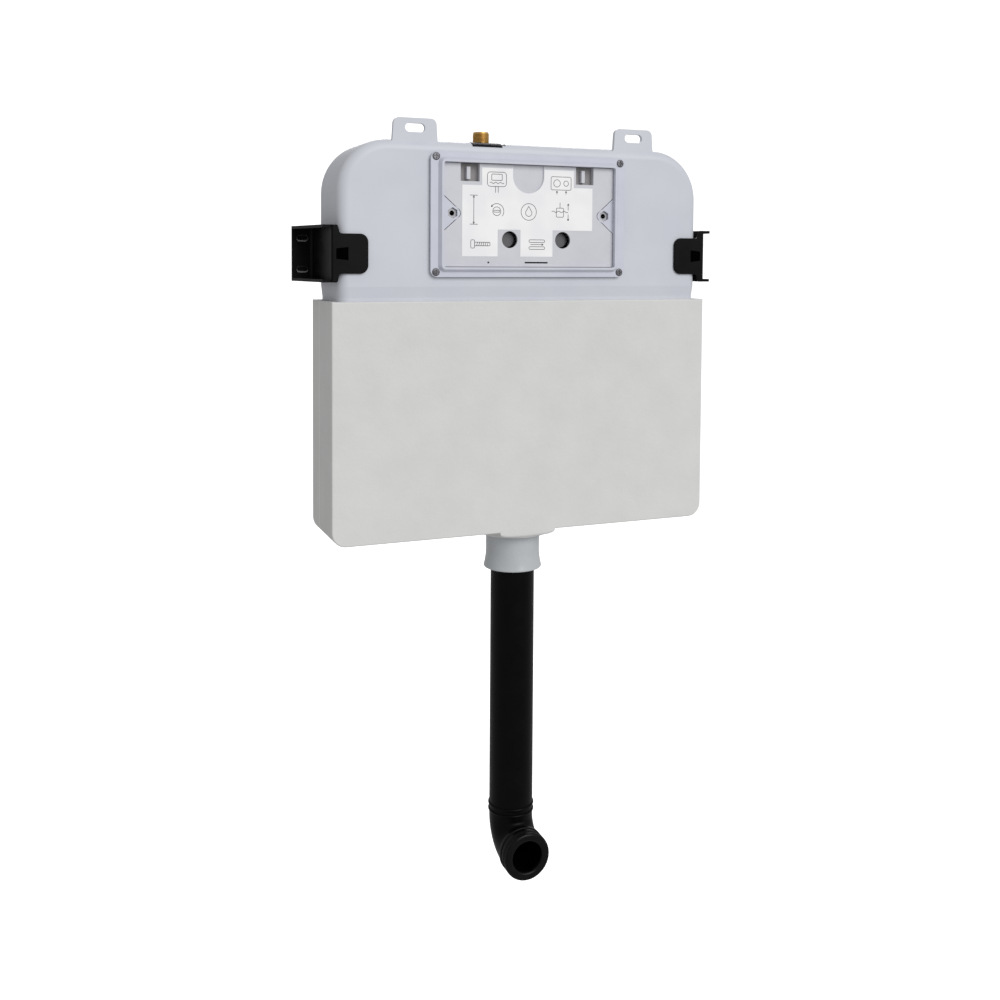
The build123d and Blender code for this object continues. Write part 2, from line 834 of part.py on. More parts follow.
label_top_z = lintel_z - label_top_gap
label_left_x = face_offset - label_width / 2
with BuildPart() as instruction_label:
    with BuildSketch(depth_plane(cover_front_y)):
        with Locations((face_offset, label_top_z - label_drop / 2 + label_top_gap / 2)):
            Rectangle(label_width, label_drop - label_top_gap)
        leg_height = opening_height - label_drop - label_leg_above_sill
        leg_z = lintel_z - label_drop - leg_height / 2
        with Locations((label_left_x + label_left_leg_width / 2, leg_z)):
            Rectangle(label_left_leg_width, leg_height)
        with Locations((rod_hole_offset, leg_z)):
            Rectangle(label_tongue_width, leg_height)
        with Locations((face_offset, cover_top_z - notch_straight)):
            Circle(finger_notch_width / 2 + label_margin / 2, mode=Mode.SUBTRACT)
        with Locations((face_offset, cover_top_z - notch_straight / 2)):
            Rectangle(finger_notch_width + label_margin, notch_straight, mode=Mode.SUBTRACT)
        with Locations(latch_places):
            Rectangle(
                latch_width + 2 * (latch_pocket_wall + label_margin),
                latch_height + 2 * (latch_pocket_wall + label_margin),
                mode=Mode.SUBTRACT,
            )
        with Locations((rod_hole_left_x, rod_hole_z), (rod_hole_right_x, rod_hole_z)):
            Circle(rod_hole_radius + label_margin / 2, mode=Mode.SUBTRACT)
        # The label ends short of the ears' rounded tips.
        keep_half = ear_root_x - ear_reach + ear_tip_radius * (1 / math.sin(ear_lean) - 1)
        keep_half -= ear_gap + label_margin
        with Locations((0, frame_z)):
            Rectangle(2 * keep_half, frame_height, mode=Mode.INTERSECT)
    extrude(amount=label_thickness)
finish(instruction_label, "instruction_label")


# Side brackets that grip the tank and screw to the wall

bracket_z = jacket_top_z + bracket_above_jacket + bracket_height / 2
tongue_front_y = tank_front_y - bracket_sheet
foot_front_y = wall_y - bracket_sheet
web_inner_x = tank_width / 2 + bracket_side_gap
bracket_outer_x = web_inner_x + bracket_sheet
tongue_tip_x = bracket_outer_x - tongue_reach
tongue_shoulder_x = bracket_outer_x - tongue_shoulder_reach
bracket_pocket_outer_x = bracket_outer_x - bracket_pocket_from_side
bracket_pocket_inner_x = bracket_pocket_outer_x - bracket_pocket_width
foot_outer_x = bracket_outer_x + bracket_foot_width
foot_slot_x = bracket_outer_x + bracket_foot_width / 2

with BuildPart() as bracket_right:
    # Front tongue: a tall root with sloped shoulders and a rounded tip
    with BuildSketch(depth_plane(tank_front_y)) as tongue:
        with BuildLine():
            Polyline(
                (bracket_outer_x, bracket_z - bracket_height / 2),
                (bracket_outer_x, bracket_z + bracket_height / 2),
                (tongue_shoulder_x, bracket_z + bracket_height / 2),
                (tongue_shoulder_x - tongue_shoulder_run, bracket_z + tongue_height / 2),
                (tongue_tip_x, bracket_z + tongue_height / 2),
                (tongue_tip_x, bracket_z - tongue_height / 2),
                (tongue_shoulder_x - tongue_shoulder_run, bracket_z - tongue_height / 2),
                (tongue_shoulder_x, bracket_z - bracket_height / 2),
                close=True,
            )
        make_face()
        fillet(tongue.vertices().group_by(Axis.X)[1], tongue_root_radius)
        fillet(tongue.vertices().group_by(Axis.X)[0], tongue_radius)
        bottom_shoulder = tongue.vertices().group_by(Axis.Y)[0].sort_by(Axis.X)[0]
        top_shoulder = tongue.vertices().group_by(Axis.Y)[-1].sort_by(Axis.X)[0]
        fillet([bottom_shoulder, top_shoulder], tongue_shoulder_radius)
    extrude(amount=bracket_sheet)
    tongue_rim = bracket_right.faces().sort_by(Axis.Y)[0].edges()
    chamfer(tongue_rim.sort_by(Axis.X)[:-1], tongue_edge_chamfer)
    # Web along the tank's side, lip behind it and foot on the wall
    with BuildSketch(Plane.XY.offset(bracket_z - bracket_height / 2)) as plan:
        with BuildLine():
            Polyline(
                (bracket_outer_x, tongue_front_y),
                (bracket_outer_x, foot_front_y),
                (foot_outer_x, foot_front_y),
                (foot_outer_x, wall_y),
                (bracket_outer_x - bracket_back_lip, wall_y),
                (bracket_outer_x - bracket_back_lip, tank_back_y),
                (web_inner_x, tank_back_y),
                (web_inner_x, tongue_front_y),
                close=True,
            )
        make_face()
        foot_corner = plan.vertices().sort_by_distance((bracket_outer_x, foot_front_y))[0]
        fillet(foot_corner, bracket_foot_radius)
    extrude(amount=bracket_height)
    outer_uprights = bracket_right.edges().filter_by(Axis.Z).filter_by_position(
        Axis.X, bracket_outer_x - pin_fit, bracket_outer_x + pin_fit
    )
    fillet(outer_uprights.sort_by(Axis.Y)[0], bracket_bend_radius)
    # A tapered pocket in the tongue's root
    with BuildSketch(depth_plane(tongue_front_y - overrun)):
        with BuildLine():
            Polyline(
                (bracket_pocket_inner_x, bracket_z + bracket_pocket_inner_height / 2),
                (bracket_pocket_outer_x, bracket_z + bracket_pocket_outer_height / 2),
                (bracket_pocket_outer_x, bracket_z - bracket_pocket_outer_height / 2),
                (bracket_pocket_inner_x, bracket_z - bracket_pocket_inner_height / 2),
                close=True,
            )
        make_face()
    extrude(amount=-(overrun + bracket_pocket_depth), mode=Mode.SUBTRACT)
    # Gussets close the angle between web and foot at both ends.
    for gusset_z in (bracket_z - bracket_height / 2, bracket_z + bracket_height / 2 - bracket_sheet):
        with BuildSketch(Plane.XY.offset(gusset_z)):
            with BuildLine():
                Polyline(
                    (web_inner_x + bracket_sheet / 2, tongue_front_y + bracket_bend_radius),
                    (bracket_outer_x + bracket_front_rib, tongue_front_y + bracket_bend_radius),
                    (foot_outer_x, foot_front_y + bracket_sheet / 2),
                    (web_inner_x + bracket_sheet / 2, foot_front_y + bracket_sheet / 2),
                    close=True,
                )
            make_face()
        extrude(amount=bracket_sheet)
    # Ribs inside the web bear on the tank's side.
    with BuildSketch(side_plane(web_inner_x)):
        with Locations(
            (axis_y, bracket_z - bracket_rib_spacing / 2),
            (axis_y, bracket_z + bracket_rib_spacing / 2),
        ):
            Rectangle(bracket_rib_length, bracket_rib_thickness)
    extrude(amount=-(web_inner_x - tank_width / 2 - bracket_rib_gap))
    with BuildSketch(depth_plane(foot_front_y - overrun)):
        with Locations((foot_slot_x, bracket_z)):
            with GridLocations(0, bracket_slot_width + bracket_slot_bridge, 1, 3):
                SlotOverall(bracket_slot_length, bracket_slot_width)
    extrude(amount=-(bracket_sheet + 2 * overrun), mode=Mode.SUBTRACT)
finish(bracket_right, "bracket_right")

with BuildPart() as bracket_left:
    add(mirror(bracket_right.part, about=Plane.YZ, mode=Mode.PRIVATE))
finish(bracket_left, "bracket_left")


# Water inlet: a threaded stub of the stop valve comes up through the roof

plate_top_z = pocket_floor_z + inlet_plate_thickness
inlet_top_z = plate_top_z + inlet_height
shoulder_seat_z = roof_z - inlet_gasket_thickness
shoulder_base_z = shoulder_seat_z - inlet_shoulder_height
supply_z = lintel_z - knob_below_lintel - knob_radius
barrel_bottom_z = supply_z - valve_tail_length

with BuildPart() as inlet_plate:
    with BuildSketch(Plane.XY.offset(pocket_floor_z)):
        with Locations((inlet_x, axis_y)):
            RectangleRounded(inlet_plate_width, inlet_plate_depth, inlet_plate_corner)
            Circle(inlet_radius + inlet_hole_play, mode=Mode.SUBTRACT)
    extrude(amount=inlet_plate_thickness)
finish(inlet_plate, "inlet_plate")

with BuildPart() as inlet_gasket:
    with BuildSketch(Plane.XY.offset(shoulder_seat_z)):
        with Locations((inlet_x, axis_y)):
            Circle(inlet_shoulder_radius)
            Circle(inlet_radius + inlet_hole_play, mode=Mode.SUBTRACT)
    extrude(amount=inlet_gasket_thickness)
finish(inlet_gasket, "inlet_gasket")

branch_end_x = inlet_x - valve_branch_reach
bonnet_front_y = axis_y - valve_barrel_radius - valve_bonnet_reach
with BuildPart() as stop_valve_body:
    with BuildSketch(depth_plane(axis_y)):
        with BuildLine():
            Polyline(
                (inlet_x, inlet_top_z),
                (inlet_x + inlet_radius - inlet_chamfer, inlet_top_z),
                (inlet_x + inlet_radius, inlet_top_z - inlet_chamfer),
                (inlet_x + inlet_radius, plate_top_z + inlet_relief_length),
                (inlet_x + inlet_radius - inlet_relief_depth, plate_top_z + inlet_relief_length),
                (inlet_x + inlet_radius - inlet_relief_depth, plate_top_z),
                (inlet_x + inlet_radius, plate_top_z),
                (inlet_x + inlet_radius, shoulder_seat_z),
                (inlet_x + inlet_shoulder_radius, shoulder_seat_z),
                (inlet_x + inlet_shoulder_radius, shoulder_base_z),
                (inlet_x + valve_barrel_radius, shoulder_base_z),
                (inlet_x + valve_barrel_radius, barrel_bottom_z),
                (inlet_x, barrel_bottom_z),
                close=True,
            )
        make_face()
    revolve(axis=plan_axis(inlet_x, axis_y))
    with BuildSketch(side_plane(inlet_x)):
        with Locations((axis_y, supply_z)):
            Circle(valve_branch_radius)
    extrude(amount=-valve_branch_reach)
    with BuildSketch(depth_plane(axis_y)):
        with Locations((inlet_x, supply_z)):
            Circle(valve_bonnet_radius)
    extrude(amount=axis_y - bonnet_front_y)
    with BuildSketch(Plane.XY.offset(inlet_top_z + overrun)):
        with Locations((inlet_x, axis_y)):
            Circle(inlet_bore_radius)
    extrude(amount=supply_z - inlet_top_z - overrun, mode=Mode.SUBTRACT)
    with BuildSketch(side_plane(branch_end_x - overrun)):
        with Locations((axis_y, supply_z)):
            Circle(supply_bore_radius)
    extrude(amount=valve_branch_reach + overrun, mode=Mode.SUBTRACT)
    with BuildSketch(depth_plane(bonnet_front_y - overrun)):
        with Locations((inlet_x, supply_z)):
            Circle(spindle_radius + spindle_play)
    extrude(amount=-(overrun + spindle_depth + spindle_play), mode=Mode.SUBTRACT)
finish(stop_valve_body, "stop_valve_body")

spindle_back_y = bonnet_front_y + spindle_depth
spindle_front_y = spindle_back_y - spindle_length
with BuildPart() as stop_valve_spindle:
    with BuildSketch(depth_plane(spindle_back_y)):
        with Locations((inlet_x, supply_z)):
            Circle(spindle_radius)
    extrude(amount=spindle_length)
finish(stop_valve_spindle, "stop_valve_spindle")

knob_back_y = bonnet_front_y - knob_gap
with BuildPart() as stop_valve_knob:
    with BuildSketch(depth_plane(knob_back_y)):
        with Locations((inlet_x, supply_z)):
            Circle(knob_radius)
            with PolarLocations(knob_radius, knob_flute_count):
                Circle(knob_flute_radius, mode=Mode.SUBTRACT)
            Circle(spindle_radius + pin_fit, mode=Mode.SUBTRACT)
    extrude(amount=knob_length - knob_grip_height)
    with BuildSketch(depth_plane(knob_back_y - knob_length + knob_grip_height)):
        with Locations((inlet_x, supply_z)):
            Circle(knob_crown_radius)
    extrude(amount=knob_crown_height)
    with BuildSketch(depth_plane(knob_back_y - knob_length + knob_grip_height)):
        with Locations((inlet_x, supply_z)):
            SlotOverall(knob_grip_length, knob_grip_width)
    extrude(amount=knob_grip_height)
finish(stop_valve_knob, "stop_valve_knob")


# Supply tube across to the fill valve, with a union nut at each end

supply_end_x = branch_end_x - supply_length
with BuildPart() as supply_tube:
    with BuildSketch(side_plane(branch_end_x)):
        with Locations((axis_y, supply_z)):
            Circle(supply_radius)
            Circle(supply_bore_radius, mode=Mode.SUBTRACT)
    extrude(amount=-supply_length)
    with BuildSketch(side_plane(branch_end_x)):
        with Locations((axis_y, supply_z)):
            Circle(valve_branch_radius)
            Circle(supply_bore_radius, mode=Mode.SUBTRACT)
    extrude(amount=-union_nut_lip / 2)
    with BuildSketch(side_plane(supply_end_x)):
        with Locations((axis_y, supply_z)):
            Circle(valve_branch_radius)
            Circle(supply_bore_radius, mode=Mode.SUBTRACT)
    extrude(amount=union_nut_lip / 2)
finish(supply_tube, "supply_tube")

with BuildPart() as union_nuts:
    for joint_x, towards in ((branch_end_x, -1), (supply_end_x, 1)):
        lip_end_x = joint_x + towards * (union_nut_lip / 2 + union_nut_lip)
        with BuildSketch(side_plane(lip_end_x)):
            with Locations((axis_y, supply_z)):
                RegularPolygon(union_nut_width / 2 / math.cos(math.pi / 6), 6)
                Circle(supply_radius + union_play, mode=Mode.SUBTRACT)
        extrude(amount=-towards * union_nut_lip)
        with BuildSketch(side_plane(lip_end_x - towards * union_nut_lip)):
            with Locations((axis_y, supply_z)):
                RegularPolygon(union_nut_width / 2 / math.cos(math.pi / 6), 6)
                Circle(valve_branch_radius + union_play, mode=Mode.SUBTRACT)
        extrude(amount=-towards * (union_nut_length - union_nut_lip))
finish(union_nuts, "union_nuts")


# Fill valve: head, column, cap, float and the arm between them

head_top_z = supply_z + fill_head_above_axis
head_bottom_z = head_top_z - fill_head_height
column_bottom_z = head_bottom_z - fill_column_length
arm_pivot_x = fill_x + arm_pivot_dx
arm_pivot_y = axis_y + arm_pivot_dy
arm_z = supply_z - arm_drop
arm_root_y = arm_pivot_y + arm_thickness / 2 + arm_side_play

with BuildPart() as fill_valve_body:
    with BuildSketch(Plane.XY.offset(head_bottom_z)):
        with Locations((fill_x, axis_y)):
            Circle(fill_head_radius)
    extrude(amount=fill_head_height)
    with BuildSketch(Plane.XY.offset(column_bottom_z)):
        with Locations((fill_x, axis_y)):
            Circle(fill_column_radius)
    extrude(amount=fill_column_length)
    with BuildSketch(side_plane(supply_end_x)):
        with Locations((axis_y, supply_z)):
            Circle(fill_branch_radius)
    extrude(amount=fill_x - supply_end_x)
    # A lug in front of the head carries the arm's pin.
    with BuildSketch(depth_plane(arm_root_y)):
        with Locations((arm_pivot_x, arm_z)):
            Circle(arm_boss_radius)
        with Locations((arm_pivot_x - arm_lug_width / 2, arm_z)):
            Rectangle(arm_lug_width, 2 * arm_boss_radius)
    extrude(amount=-(axis_y - arm_root_y))
    with BuildSketch(depth_plane(arm_root_y - overrun)):
        with Locations((arm_pivot_x, arm_z)):
            Circle(arm_pin_radius + pin_fit)
    extrude(amount=-(overrun + arm_lug_width / 2), mode=Mode.SUBTRACT)
    with BuildSketch(Plane.XY.offset(column_bottom_z - overrun)):
        with Locations((fill_x, axis_y)):
            Circle(fill_column_bore)
    extrude(amount=supply_z - column_bottom_z + overrun, mode=Mode.SUBTRACT)
    with BuildSketch(side_plane(supply_end_x + overrun)):
        with Locations((axis_y, supply_z)):
            Circle(supply_bore_radius)
    extrude(amount=fill_x - supply_end_x - overrun, mode=Mode.SUBTRACT)
finish(fill_valve_body, "fill_valve_body")

with BuildPart() as fill_valve_cap:
    with BuildSketch(Plane.XY.offset(head_top_z)):
        with Locations((fill_x, axis_y)):
            Circle(fill_cap_radius)
    extrude(amount=fill_cap_height)
    chamfer(fill_valve_cap.faces().sort_by(Axis.Z)[-1].edges(), fill_cap_rib_radius)
    with BuildSketch(Plane.XY.offset(head_top_z)):
        with Locations((fill_x, axis_y)):
            with PolarLocations(fill_cap_radius, fill_cap_rib_count):
                Circle(fill_cap_rib_radius)
    extrude(amount=fill_cap_height - fill_cap_rib_radius)
finish(fill_valve_cap, "fill_valve_cap")

float_top_z = sill_z - float_below_sill
float_bottom_z = float_top_z - float_height
rod_x = arm_pivot_x - arm_length
rod_y = arm_pivot_y
with BuildPart() as fill_float:
    with BuildSketch(Plane.XY.offset(float_bottom_z)):
        with Locations((fill_x, axis_y)):
            Circle(float_radius)
    extrude(amount=float_height)
    fillet(fill_float.faces().sort_by(Axis.Z)[-1].edges(), float_edge_radius)
    # The cup is open below, with a tube round the column.
    with BuildSketch(Plane.XY.offset(float_bottom_z - overrun)):
        with Locations((fill_x, axis_y)):
            Circle(float_radius - float_wall)
            Circle(fill_column_radius + float_play + float_wall, mode=Mode.SUBTRACT)
    extrude(amount=float_height + overrun - float_wall, mode=Mode.SUBTRACT)
    with BuildSketch(Plane.XY.offset(float_top_z - float_wall)):
        with Locations((rod_x, rod_y)):
            Rectangle(float_rod_width + 2 * float_rod_side, float_rod_thickness + float_rod_side)
    extrude(amount=float_wall)
    with BuildSketch(Plane.XY.offset(float_bottom_z - overrun)):
        with Locations((fill_x, axis_y)):
            Circle(fill_column_radius + float_play)
    extrude(amount=float_height + 2 * overrun, mode=Mode.SUBTRACT)
finish(fill_float, "fill_float")

with BuildPart() as float_rod:
    # A strip with a window near its top, through which the arm's end passes
    rod_top_z = arm_z + float_window_top + float_rod_head
    with BuildSketch(side_plane(rod_x - float_rod_width / 2)):
        with Locations((rod_y, (rod_top_z + float_top_z) / 2)):
            Rectangle(float_rod_thickness, rod_top_z - float_top_z)
        with Locations((rod_y, arm_z + (float_window_top - float_window_bottom) / 2)):
            Rectangle(
                arm_thickness + 2 * arm_side_play,
                float_window_top + float_window_bottom,
                mode=Mode.SUBTRACT,
            )
    extrude(amount=float_rod_width)
    with BuildSketch(Plane.XY.offset(float_top_z)):
        with Locations((rod_x, rod_y)):
            Rectangle(float_rod_width + 2 * float_rod_side, float_rod_thickness + float_rod_side)
    extrude(amount=float_rod_foot / 2)
finish(float_rod, "float_rod")

with BuildPart() as float_arm:
    with BuildSketch(depth_plane(arm_pivot_y - arm_thickness / 2)):
        with Locations((arm_pivot_x, arm_z)):
            Circle(arm_boss_radius)
        with Locations((arm_pivot_x - (arm_length + arm_tip_extra) / 2, arm_z)):
            Rectangle(arm_length + arm_tip_extra, 2 * arm_half_height)
        with Locations((arm_pivot_x - arm_length - arm_tip_extra, arm_z)):
            Circle(arm_half_height)
        with Locations((arm_pivot_x, arm_z)):
            Circle(arm_pin_radius + arm_pin_play, mode=Mode.SUBTRACT)
    extrude(amount=-arm_thickness)
finish(float_arm, "float_arm")

arm_pin_front_y = arm_pivot_y - arm_thickness / 2 - arm_side_play
with BuildPart() as float_arm_pin:
    with BuildSketch(depth_plane(arm_pin_front_y)):
        with Locations((arm_pivot_x, arm_z)):
            Circle(arm_pin_radius)
    extrude(amount=-(arm_thickness + 2 * arm_side_play + arm_lug_width / 2 - overrun / 2))
    with BuildSketch(depth_plane(arm_pin_front_y)):
        with Locations((arm_pivot_x, arm_z)):
            Circle(2 * arm_pin_radius)
    extrude(amount=arm_pin_radius)
finish(float_arm_pin, "float_arm_pin")


# Flush levers: each pad is pushed back and its arm lifts a rod

pivot_y = cover_back_y + pivot_behind_cover
carrier_top_z = supply_z - knob_radius - carrier_below_knob
pivot_z = carrier_top_z - carrier_rib_height - carrier_bar_height - carrier_ear_rise
pad_front_y = cover_back_y + pad_gap
lift_rod_y = pivot_y + lever_arm_length
carrier_bar_z = pivot_z + carrier_ear_rise + carrier_bar_height / 2


def lever_form(x):
    """One lever: a pad below, a boss on the pin and an arm to the rear."""
    with BuildPart() as form:
        with BuildSketch(side_plane(x - lever_width / 2)):
            with Locations((pivot_y, pivot_z)):
                Circle(lever_boss_radius)
            with Locations((pivot_y + (lever_arm_length + lever_tip_extra) / 2, pivot_z)):
                Rectangle(lever_arm_length + lever_tip_extra, 2 * lever_arm_half)
            with BuildLine():
                Polyline(
                    (pivot_y - pad_arm_width / 2, pivot_z),
                    (pivot_y + pad_arm_width / 2, pivot_z),
                    (pad_front_y + pad_thickness + pad_arm_width / 2, rod_hole_z - pad_radius / 2),
                    (pad_front_y + pad_thickness / 2, rod_hole_z - pad_radius / 2),
                    (pad_front_y + pad_thickness / 2, rod_hole_z + pad_radius / 2),
                    close=True,
                )
            make_face()
            with Locations((pivot_y, pivot_z)):
                Circle(lever_pin_radius + lever_pin_play, mode=Mode.SUBTRACT)
        extrude(amount=lever_width)
        with BuildSketch(depth_plane(pad_front_y)):
            with Locations((x, rod_hole_z)):
                Circle(pad_radius)
        extrude(amount=-pad_thickness)
    return form.part


with BuildPart() as half_flush_lever:
    add(lever_form(rod_hole_left_x))
finish(half_flush_lever, "half_flush_lever")

with BuildPart() as full_flush_lever:
    add(lever_form(rod_hole_right_x))
finish(full_flush_lever, "full_flush_lever")

ear_inner = lever_width / 2 + lever_side_play
ear_outer = ear_inner + carrier_ear_width
with BuildPart() as lever_carrier:
    with BuildSketch(side_plane(-opening_width / 2 + carrier_end_gap)):
        with Locations((pivot_y, carrier_bar_z)):
            Rectangle(carrier_bar_depth, carrier_bar_height)
        with Locations((pivot_y, carrier_bar_z + carrier_bar_height / 2 + carrier_rib_height / 2)):
            Rectangle(carrier_rib_width, carrier_rib_height)
    extrude(amount=opening_width - 2 * carrier_end_gap)
    for lever_x in (rod_hole_left_x, rod_hole_right_x):
        for ear_x in (lever_x - ear_outer, lever_x + ear_inner):
            with BuildSketch(side_plane(ear_x)):
                with Locations((pivot_y, pivot_z + (carrier_ear_rise - carrier_ear_drop) / 2)):
                    Rectangle(carrier_ear_depth, carrier_ear_rise + carrier_ear_drop)
                with Locations((pivot_y, pivot_z)):
                    Circle(lever_pin_radius + pin_fit, mode=Mode.SUBTRACT)
            extrude(amount=carrier_ear_width)
finish(lever_carrier, "lever_carrier")

pin_start_x = rod_hole_left_x - ear_outer - overrun
pin_end_x = rod_hole_right_x + ear_outer + overrun
with BuildPart() as lever_pin:
    with BuildSketch(side_plane(pin_start_x)):
        with Locations((pivot_y, pivot_z)):
            Circle(lever_pin_radius)
    extrude(amount=pin_end_x - pin_start_x)
    chamfer(lever_pin.edges().filter_by(GeomType.CIRCLE), lever_pin_radius / 4)
finish(lever_pin, "lever_pin")


# Flush valve: seat, basket, lifting sleeve and the overflow tube on top of it

seat_gasket_z = tank_floor_z
seat_base_z = seat_gasket_z + seat_gasket_thickness
seat_top_z = seat_base_z + seat_flange_height
seat_rim_z = seat_top_z + seat_rim_height
tail_end_z = tank_bottom_z - tail_length
sleeve_base_z = seat_rim_z + main_seal_thickness
sleeve_rim_z = sleeve_base_z + sleeve_length
sleeve_ear_z = sleeve_rim_z - sleeve_ear_below_rim
tube_base_z = sleeve_rim_z + half_seal_thickness
tube_top_z = sill_z - overflow_below_sill
tube_ear_z = tube_top_z - tube_ear_below_rim

with BuildPart() as seat_gasket:
    with BuildSketch(Plane.XY.offset(seat_gasket_z)):
        with Locations((0, axis_y)):
            Circle(seat_flange_radius)
            Circle(tail_radius + tail_play, mode=Mode.SUBTRACT)
    extrude(amount=seat_gasket_thickness)
finish(seat_gasket, "seat_gasket")

with BuildPart() as valve_seat:
    with BuildSketch(depth_plane(axis_y)):
        with BuildLine():
            Polyline(
                (tail_radius - tail_wall, tail_end_z),
                (tail_radius, tail_end_z),
                (tail_radius, seat_base_z),
                (seat_flange_radius, seat_base_z),
                (seat_flange_radius, seat_top_z),
                (tail_radius, seat_top_z),
                (tail_radius - seat_rim_wall / 4, seat_rim_z),
                (tail_radius - tail_wall, seat_rim_z),
                close=True,
            )
        make_face()
    revolve(axis=plan_axis(0, axis_y))
finish(valve_seat, "valve_seat")

basket_base_z = seat_top_z
basket_top_z = basket_base_z + basket_height
with BuildPart() as valve_basket:
    with BuildSketch(Plane.XY.offset(basket_base_z)):
        with Locations((0, axis_y)):
            Circle(basket_radius)
            Circle(basket_radius - basket_wall, mode=Mode.SUBTRACT)
    extrude(amount=basket_height)
    with BuildSketch(Plane.XY.offset(basket_top_z - basket_cap_height)):
        with Locations((0, axis_y)):
            Circle(basket_radius)
            Circle(sleeve_radius + sleeve_guide_play, mode=Mode.SUBTRACT)
    extrude(amount=basket_cap_height)
    # Water enters through tall windows between narrow bars.
    with BuildSketch(Plane.XY.offset(basket_base_z + basket_window_sill)):
        with Locations((0, axis_y)):
            Circle(basket_radius + overrun)
            Circle(basket_radius - basket_wall - overrun, mode=Mode.SUBTRACT)
            with PolarLocations(0, basket_window_count, start_angle=45):
                with Locations((basket_radius, 0)):
                    Rectangle(basket_radius, basket_bar_width, mode=Mode.SUBTRACT)
    extrude(amount=basket_window_height, mode=Mode.SUBTRACT)
finish(valve_basket, "valve_basket")

with BuildPart() as full_flush_sleeve:
    with BuildSketch(depth_plane(axis_y)):
        with BuildLine():
            Polyline(
                (sleeve_radius - sleeve_wall, seat_rim_z - sleeve_lip_height),
                (sleeve_lip_radius, seat_rim_z - sleeve_lip_height),
                (sleeve_lip_radius, seat_rim_z),
                (sleeve_radius, seat_rim_z),
                (sleeve_radius, sleeve_base_z),
                (sleeve_flange_radius, sleeve_base_z),
                (sleeve_flange_radius, sleeve_base_z + sleeve_flange_height),
                (sleeve_radius, sleeve_base_z + sleeve_flange_height),
                (sleeve_radius, sleeve_rim_z),
                (sleeve_radius - sleeve_wall, sleeve_rim_z),
                close=True,
            )
        make_face()
    revolve(axis=plan_axis(0, axis_y))
    # A plate at the side takes the lift rod's foot.
    with BuildSketch(Plane.XY.offset(sleeve_ear_z)):
        with Locations(((rod_hole_right_x + ear_plate_margin) / 2, (axis_y + lift_rod_y) / 2)):
            Rectangle(
                rod_hole_right_x + ear_plate_margin,
                lift_rod_y - axis_y + 2 * ear_plate_margin,
            )
        with Locations((0, axis_y)):
            Circle(sleeve_radius - sleeve_wall / 2, mode=Mode.SUBTRACT)
        with Locations((rod_hole_right_x, lift_rod_y)):
            Circle(rod_peg_radius + rod_peg_play, mode=Mode.SUBTRACT)
    extrude(amount=-ear_plate_thickness)
finish(full_flush_sleeve, "full_flush_sleeve")

with BuildPart() as full_flush_seal:
    with BuildSketch(Plane.XY.offset(seat_rim_z)):
        with Locations((0, axis_y)):
            Circle(main_seal_radius)
            Circle(sleeve_radius + seal_play, mode=Mode.SUBTRACT)
    extrude(amount=main_seal_thickness)
finish(full_flush_seal, "full_flush_seal")

with BuildPart() as overflow_tube:
    with BuildSketch(depth_plane(axis_y)):
        with BuildLine():
            Polyline(
                (tube_radius - tube_wall, sleeve_rim_z - tube_guide_length),
                (tube_radius, sleeve_rim_z - tube_guide_length),
                (tube_radius, tube_base_z),
                (tube_flange_radius, tube_base_z),
                (tube_flange_radius, tube_base_z + tube_flange_height),
                (tube_radius, tube_base_z + tube_flange_height),
                (tube_radius, tube_top_z),
                (tube_radius - tube_wall, tube_top_z),
                close=True,
            )
        make_face()
    revolve(axis=plan_axis(0, axis_y))
    # Fins keep the tube's lower end in the middle of the sleeve.
    with BuildSketch(Plane.XY.offset(sleeve_rim_z - tube_guide_length)):
        with Locations((0, axis_y)):
            with PolarLocations(0, tube_fin_count, start_angle=90):
                fin_end = sleeve_radius - sleeve_wall - tube_fin_play
                with Locations(((fin_end + tube_radius - tube_wall / 2) / 2, 0)):
                    Rectangle(fin_end - tube_radius + tube_wall / 2, tube_fin_thickness)
    extrude(amount=tube_guide_length - half_seal_thickness)
    with BuildSketch(Plane.XY.offset(tube_ear_z)):
        with Locations(((rod_hole_left_x - ear_plate_margin) / 2, (axis_y + lift_rod_y) / 2)):
            Rectangle(
                ear_plate_margin - rod_hole_left_x,
                lift_rod_y - axis_y + 2 * ear_plate_margin,
            )
        with Locations((0, axis_y)):
            Circle(tube_radius - tube_wall / 2, mode=Mode.SUBTRACT)
        with Locations((rod_hole_left_x, lift_rod_y)):
            Circle(rod_peg_radius + rod_peg_play, mode=Mode.SUBTRACT)
    extrude(amount=-ear_plate_thickness)
finish(overflow_tube, "overflow_tube")

with BuildPart() as half_flush_seal:
    with BuildSketch(Plane.XY.offset(sleeve_rim_z)):
        with Locations((0, axis_y)):
            Circle(half_seal_radius)
            Circle(tube_radius + seal_play, mode=Mode.SUBTRACT)
    extrude(amount=half_seal_thickness)
finish(half_flush_seal, "half_flush_seal")


# Lift rods: the window at the top hangs on the lever's arm


